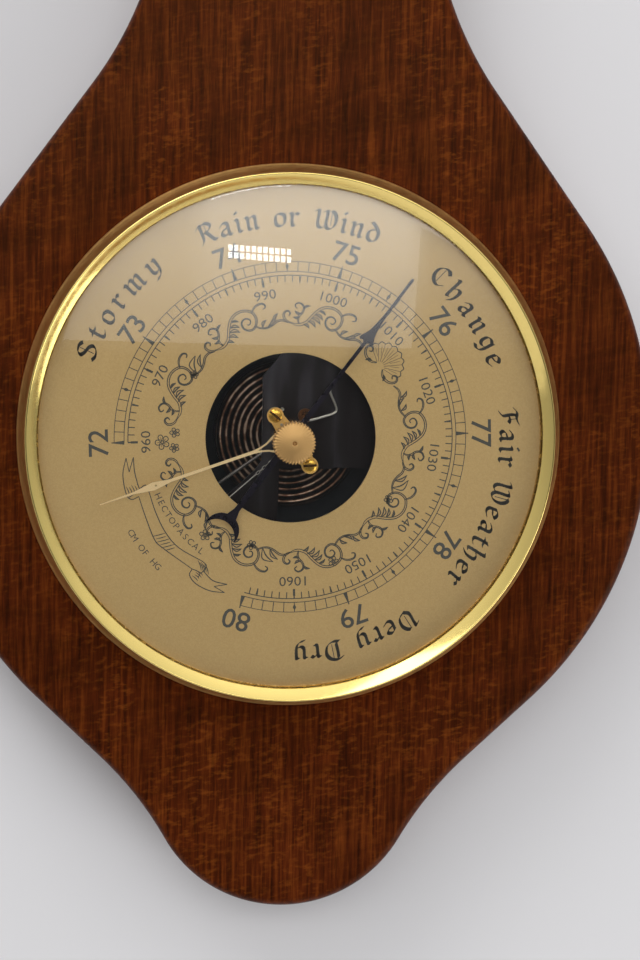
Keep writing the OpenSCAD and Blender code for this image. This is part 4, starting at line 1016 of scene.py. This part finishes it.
knob = bmesh.new()
knob_rings = [flute_ring(knob, KNOB_BACK, 0.9, 0.1),
              flute_ring(knob, KNOB_BACK + 0.4, 1.0, FLUTE_DEEP)]
knob_rings += [flute_ring(knob, KNOB_FRONT - down, scale, deep) for down, scale, deep in (
    (1.25, 1.0, FLUTE_DEEP), (1.12, 0.985, FLUTE_DEEP), (1.0, 0.9, 0.3), (0.85, 0.78, 0.08),
    (0.5, 0.5, 0.0), (0.1, 0.14, 0.0), (0.14, 0.1, 0.0), (0.7, 0.05, 0.0))]
for low_ring, high_ring in zip(knob_rings, knob_rings[1:]):
    bmesh.ops.bridge_loops(knob, edges=low_ring + high_ring)
bmesh.ops.holes_fill(knob, edges=knob_rings[0] + knob_rings[-1], sides=0)
close_up(knob)
finish_piece("Knob_fluted", knob, "set_hand", KNOB_BRASS, ["set_knob"], 28)

# %% [markdown]
# ## The fine chain and the bent wire
# A chain of tiny links pulls the pointer's arbor. Near the drum its links can be told apart, and a
# plain wire takes over further out. A bent steel wire holds the end of the hairspring. Wires are
# curves with a round bevel, made meshes at once.

# %% Wires and links
def wire(bm, points, radius, sides=10):
    curve = bpy.data.curves.new("wire", "CURVE")
    curve.dimensions, curve.bevel_depth, curve.bevel_resolution = "3D", radius, sides // 2 - 2
    curve.use_fill_caps = True
    spline = curve.splines.new("POLY")
    spline.points.add(len(points) - 1)
    for spot, p in zip(spline.points, points):
        spot.co = (*p, 1.0)
    holder = put("wire", curve)
    bm.from_mesh(bpy.data.meshes.new_from_object(holder))
    bpy.data.objects.remove(holder)


CHAIN_TURN, CHAIN_OFF, CHAIN_Z = 221.5, 1.6, 1.0
CHAIN_END, LINKS_END, SLACK_START = 34.4, 14.6, 24.6
LINKS, LINK_PITCH, LINK_R, LINK_STRETCH, LINK_WIRE = 12, 1.12, 0.34, 0.3, 0.1
chain_frame = (Matrix.Translation((0, 0, CHAIN_Z))
               @ Matrix.Rotation(math.radians(CHAIN_TURN), 4, "Z"))
chain = bmesh.new()
wire(chain, [chain_frame @ Vector((x, CHAIN_OFF, 0)) for x in (LINKS_END - 0.6, CHAIN_END)], 0.15)
wire(chain, [chain_frame @ Vector((x, y, 0)) for x, y in
             [(1.6, CHAIN_OFF)] + arc(0, 0, CHAIN_OFF, 90, 290, 20)], 0.2, 8)
for k in range(LINKS):
    link = bmesh.new()
    bmesh.ops.create_circle(link, segments=6, radius=LINK_WIRE, matrix=(
        Matrix.Translation((LINK_R, 0, 0)) @ Matrix.Rotation(math.radians(90), 4, "X")))
    bmesh.ops.spin(link, geom=link.verts[:] + link.edges[:], cent=(0, 0, 0), axis=(0, 0, 1),
                   angle=math.tau, steps=12, use_merge=True)
    for v in link.verts:
        v.co.x += LINK_STRETCH * (1 if v.co.x > 0.01 else -1 if v.co.x < -0.01 else 0)
    close_up(link)
    link.transform(chain_frame @ Matrix.Translation((1.9 + k * LINK_PITCH, CHAIN_OFF, 0))
                   @ Matrix.Rotation(math.radians(80 if k % 2 else -10), 4, "X"))
    join(chain, link)
slack = [BENCH @ chain_frame @ Vector((x, CHAIN_OFF, 0)) for x in (SLACK_START, CHAIN_END - 1)]
finish_piece("Chain_fine_links", chain, ("case", "rocker", *slack), BRIGHT_STEEL,
             ["fusee_chain"], 50)

STUD_FOOT, HAIR_Z, BRIDGE_FRONT = (10.6, 13.0), -0.8, -2.3
STUD_LINE = [(5.3, 4.6), (6.9, 5.0), (9.6, 5.8), (11.9, 6.6), (12.7, 7.6), (12.3, 9.2),
             (11.4, 11.2), (10.7, 12.9)]
stud = bmesh.new()
wire(stud, [(p.x, p.y, HAIR_Z) for p in flow(STUD_LINE, 6)], 0.34, 12)
bmesh.ops.create_cone(stud, cap_ends=True, segments=24, radius1=0.65, radius2=0.6, depth=1.9,
                      matrix=Matrix.Translation((*STUD_FOOT, BRIDGE_FRONT + 0.95)))
finish_piece("Stud_bent_wire", stud, "case", BRIGHT_STEEL, ["hairspring_stud"], 50)

# %% [markdown]
# ## The screws of the cock
# Two cheese-head screws hold the small brass cock, their heads nearly as wide as its lobes. The
# heads are turned with a slightly domed top, and the slots are sawn across them. The faces inside a
# slot get a dark brass skin, painted shade for the shadow in the narrow slot.

# %% Slotted heads
COCK_SPOTS, COCK_FRONT = [((-4.37, 6.1), -38), ((5.36, -7.48), 4)], 3.6
SCREW_R, SLOT_HALF, SLOT_FLOOR = 1.86, 0.32, 0.12
heads = bmesh.new()
for (x, y), turn in COCK_SPOTS:
    head = spun([(0, 0.66), (0.9, 0.63), (1.55, 0.52), (1.8, 0.36), (SCREW_R, 0.2),
                 (SCREW_R, 0), (0.8, 0), (0.8, -5), (0, -5)], 48)
    head.transform(Matrix.Translation((x, y, COCK_FRONT)))
    join(heads, head)
heads = finish_piece("Cock_screws_slotted", heads, "case", PLAIN_BRASS, ["cock_screws"],
                     30)
saws = []
for (x, y), turn in COCK_SPOTS:
    saw = slab(5, -SLOT_HALF, SLOT_HALF, SLOT_FLOOR, 2)
    saw.transform(Matrix.Translation((x, y, COCK_FRONT))
                  @ Matrix.Rotation(math.radians(turn), 4, "Z"))
    saws.append(saw)
cut_out(heads, saws)
heads.data.set_sharp_from_angle(angle=math.radians(30))
# The faces inside the slots take the dark brass, painted shade for the slots' shadow.
heads.data.materials.append(SLOT_SHADE_BRASS)
for face in heads.data.polygons:
    spot = BENCH.inverted() @ face.center
    for (x, y), turn in COCK_SPOTS:
        a = math.radians(turn)
        across = abs((spot.y - y) * math.cos(a) - (spot.x - x) * math.sin(a))
        near = math.hypot(spot.x - x, spot.y - y) < SCREW_R + 0.04
        if near and across < SLOT_HALF + 0.01 and 0.05 < spot.z - COCK_FRONT < 0.5:
            face.material_index = 1

# %% [markdown]
# ## The thermometer's scales
# The small plate on the neck carries the dial's own finish and ink: degrees Celsius to the left of
# the tube, Fahrenheit to its right. Both are ruled straight, with longer lines at fives and tens.

# %% Thermometer print
THERMO_Z, MELT_Y, PER_DEGREE = 1.22, 216.3, 1.2333
TUBE_ROOM, LONG_MARK, MID_MARK, SHORT_MARK, FINE, BOLD = 3.4, 7.6, 6.4, 5.2, 0.18, 0.3
MARKS = ([(c, c, 5, -1, 0.95) for c in range(-10, 51)]
         + [(f, (f - 32) / 1.8, 10, 1, 0.9) for f in range(14, 123, 2)])


def rule(bm, x0, x1, y, width):
    low, high = y - width / 2, y + width / 2
    ink_face(bm, [(x0, low), (x1, low), (x1, high), (x0, high)], THERMO_Z)


thermo = bmesh.new()
for value, celsius, fives, hand, squeeze in MARKS:
    y = MELT_Y + celsius * PER_DEGREE
    ten = value % (2 * fives) == 0
    reach = LONG_MARK if ten else MID_MARK if value % fives == 0 else SHORT_MARK
    rule(thermo, *sorted((hand * TUBE_ROOM, hand * reach)), y, BOLD if ten else FINE)
    if ten:
        height, x = (3.2, 11.2) if value < 100 else (2.7, 11.6)
        set_text(thermo, str(abs(value)), height, (hand * x, y), 0, squeeze, THERMO_Z)
for hand, letter in ((-1, "C"), (1, "F")):
    x = hand * TUBE_ROOM
    rule(thermo, x - 0.1, x + 0.1, MELT_Y + 20 * PER_DEGREE, 62 * PER_DEGREE)
    set_text(thermo, letter, 4.0, (hand * 10.8, 290.5), 0, 1.0, THERMO_Z)
finish_piece("Print_thermometer", thermo, "case", INK)

# %% [markdown]
# ## The camera
# The photograph was taken from a little to the left and above, close to the dial's height, with a
# long lens. Its place and focal length were fitted to the circles of bezel, dial and opening.

# %% Camera
FOCAL_PIXELS, PICTURE_HIGH, SENSOR_HIGH = 2602.6, 960, 24.0
cam_data = bpy.data.cameras.new("Camera")
cam_data.sensor_fit = "VERTICAL"
cam_data.sensor_height, cam_data.sensor_width = SENSOR_HIGH, 1.5 * SENSOR_HIGH
cam_data.lens = SENSOR_HIGH * FOCAL_PIXELS / PICTURE_HIGH
cam = put("Camera", cam_data)
cam.location = (-0.0497446, -0.7372696, -0.3365787)
cam.rotation_euler = [math.radians(a) for a in (83.59535, -1.15205, -4.54339)]
bpy.context.scene.camera = cam
print("camera lens", round(cam_data.lens, 2), "mm")

# %% [markdown]
# ## The wall and the floor
# A plain pale wall stands close behind the board and takes its soft shadow. It could be a grey
# picture, but a real sheet catches that shadow from every side.

# %% Wall and floor
SIDE_X, WALL_Y, WALL_TOP, FLOOR_Y, FLOOR_Z = 3, 0.008, 2.5, -0.9, -1.4


def wall_paint():
    """Pale paint that only looking rays meet, and only from the front: the light on the board's
    back passes it, and so does a look from behind. Close behind the board the wall lies in its
    shade, so metal doesn't mirror it from nearer than the board's thickness and the gap."""
    mat, tree, shader = new_skin("Wall_pale_paint", {"Base Color": "#dad9db", "Roughness": 0.9})
    light = add(tree, "LightPath", {})
    far = add(tree, "Math", {0: light.outputs["Ray Length"], 1: BOARD_T * MM + WALL_Y},
              operation="GREATER_THAN")
    seen = add(tree, "Math", {0: light.outputs["Is Glossy Ray"], 1: far}, operation="MULTIPLY")
    for ray in ("Is Camera Ray", "Is Transmission Ray"):
        seen = add(tree, "Math", {0: seen, 1: light.outputs[ray]}, operation="MAXIMUM")
    behind = add(tree, "NewGeometry", {}).outputs["Backfacing"]
    front = add(tree, "Math", {0: seen, 1: behind}, operation="SUBTRACT", use_clamp=True)
    clear = add(tree, "BsdfTransparent", {})
    both = add(tree, "MixShader", {0: front, 1: clear, 2: shader})
    feed(tree, tree.nodes["Material Output"], {"Surface": both})
    return mat


def stage_sheet(name, corners, skin):
    bm = bmesh.new()
    bm.faces.new([bm.verts.new(corner) for corner in corners])
    sheet = put(name, to_mesh(bm, name))
    sheet.data.materials.append(skin)
    sheet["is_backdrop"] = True


PALE_WALL = wall_paint()
foot = [(SIDE_X, WALL_Y, FLOOR_Z), (-SIDE_X, WALL_Y, FLOOR_Z)]
head = [(SIDE_X, WALL_Y, WALL_TOP), (-SIDE_X, WALL_Y, WALL_TOP)]
edge = [(-SIDE_X, FLOOR_Y, FLOOR_Z), (SIDE_X, FLOOR_Y, FLOOR_Z)]
stage_sheet("Wall", foot[::-1] + head, PALE_WALL)
stage_sheet("Floor", edge + foot, PALE_WALL)
print("the wall lies", WALL_Y / MM, "mm behind the board")

# %% [markdown]
# ## The light
# Soft light comes from above, from the front and from below on the right. The room behind the
# camera is dim but for a pale window and the front light, which haze the upper half of the domed
# glass, and a small panel of lamps, which gives it its glint. An image of a room could be used,
# but ramps over the direction are easier to tune. A camera that looks past the wall sees grey.

# %% Lamps and world
DIAL_CENTRE = BENCH @ Vector((0, 0, 0))
PANEL_LAMPS, PANEL_PITCH, PANEL_SLOPE, PANEL_ROW = 11, 0.0188, 0.0012, 0.025


def lamp(name, place, width, height, power):
    """A flat lamp, in metres and watts, that faces the middle of the dial."""
    data = bpy.data.lights.new(name, "AREA")
    data.shape, data.size, data.size_y, data.energy = "RECTANGLE", width, height, power
    obj = put(name, data)
    obj.location = place
    obj.rotation_euler = (DIAL_CENTRE - Vector(place)).to_track_quat("-Z", "Y").to_euler()


lamp("Key", (-0.7, -1.0, 1.1), 1.0, 1.0, 11)
lamp("Fill", (1.15, -0.75, -1.2), 0.9, 0.9, 8)
lamp("Front", (-0.16, -1.6, 0.06), 1.48, 0.6, 2.3)
for k in range(PANEL_LAMPS):
    for row in (0, 1):
        place = (-0.102 + PANEL_PITCH * k, -1.5, 0.064 - PANEL_SLOPE * k - PANEL_ROW * row)
        lamp(f"Panel_{k}_{row}", place, 0.0135, 0.019, 0.011)

world = bpy.data.worlds.new("Room")
bpy.context.scene.world = world
world.use_nodes = True
sky = world.node_tree
way = add(sky, "SeparateXYZ", {0: add(sky, "TexCoord", {}).outputs["Generated"]})


def brightness(**axes):
    """The product of one ramp for each axis, over the direction's part from -1 to 1 along it."""
    total = None
    for axis, stops in axes.items():
        part = add(sky, "MapRange", {"Value": way.outputs[axis], "From Min": -1.0})
        layer = add(sky, "ValToRGB", {"Fac": part}, [((a + 1) / 2, value) for a, value in stops])
        if total:
            layer = add(sky, "Mix", {"Factor": 1.0, "A": total, "B": layer},
                        data_type="RGBA", blend_type="MULTIPLY")
        total = layer
    return total


room = brightness(Z=[(-0.4, 0.38), (0.0, 0.45), (0.35, 0.62), (0.8, 1.0), (0.95, 1.3)],
                  Y=[(-0.98, 0.25), (-0.6, 1.0), (-0.35, 1.0), (-0.05, 1.4)])
window = brightness(Z=[(0.06, 0.0), (0.22, 0.6), (0.34, 1.0), (0.42, 1.0), (0.5, 0.0)],
                    X=[(-0.6, 0.5), (-0.14, 0.72), (-0.09, 1.0), (0.28, 1.0), (0.33, 0.5),
                       (0.7, 0.15)],
                    Y=[(-0.8, 1.0), (-0.6, 0.0)])
bright = add(sky, "VectorMath", {0: window, "Scale": 3.5}, operation="SCALE")
lit = add(sky, "Mix", {"Factor": 1.0, "A": room, "B": bright}, data_type="RGBA", blend_type="ADD")
camera_ray = add(sky, "LightPath", {}).outputs["Is Camera Ray"]
backdrop = add(sky, "Mix", {"Factor": camera_ray, "A": lit, "B": "#c8c7c9"}, data_type="RGBA")
feed(sky, sky.nodes["Background"], {"Color": backdrop, "Strength": 0.95})

scene = bpy.context.scene
scene.view_settings.view_transform = "Standard"

print("lamps:", len(bpy.data.lights))

# %% [markdown]
# ## The sizes
# The dressed model must fill the same box as the bare one, or a part has moved.

# %% Close the lesson
new_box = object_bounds()
for title, box in (("CAD box", cad_box), ("visual", new_box)):
    print(title, [[round(c, 4) for c in v] for v in box])
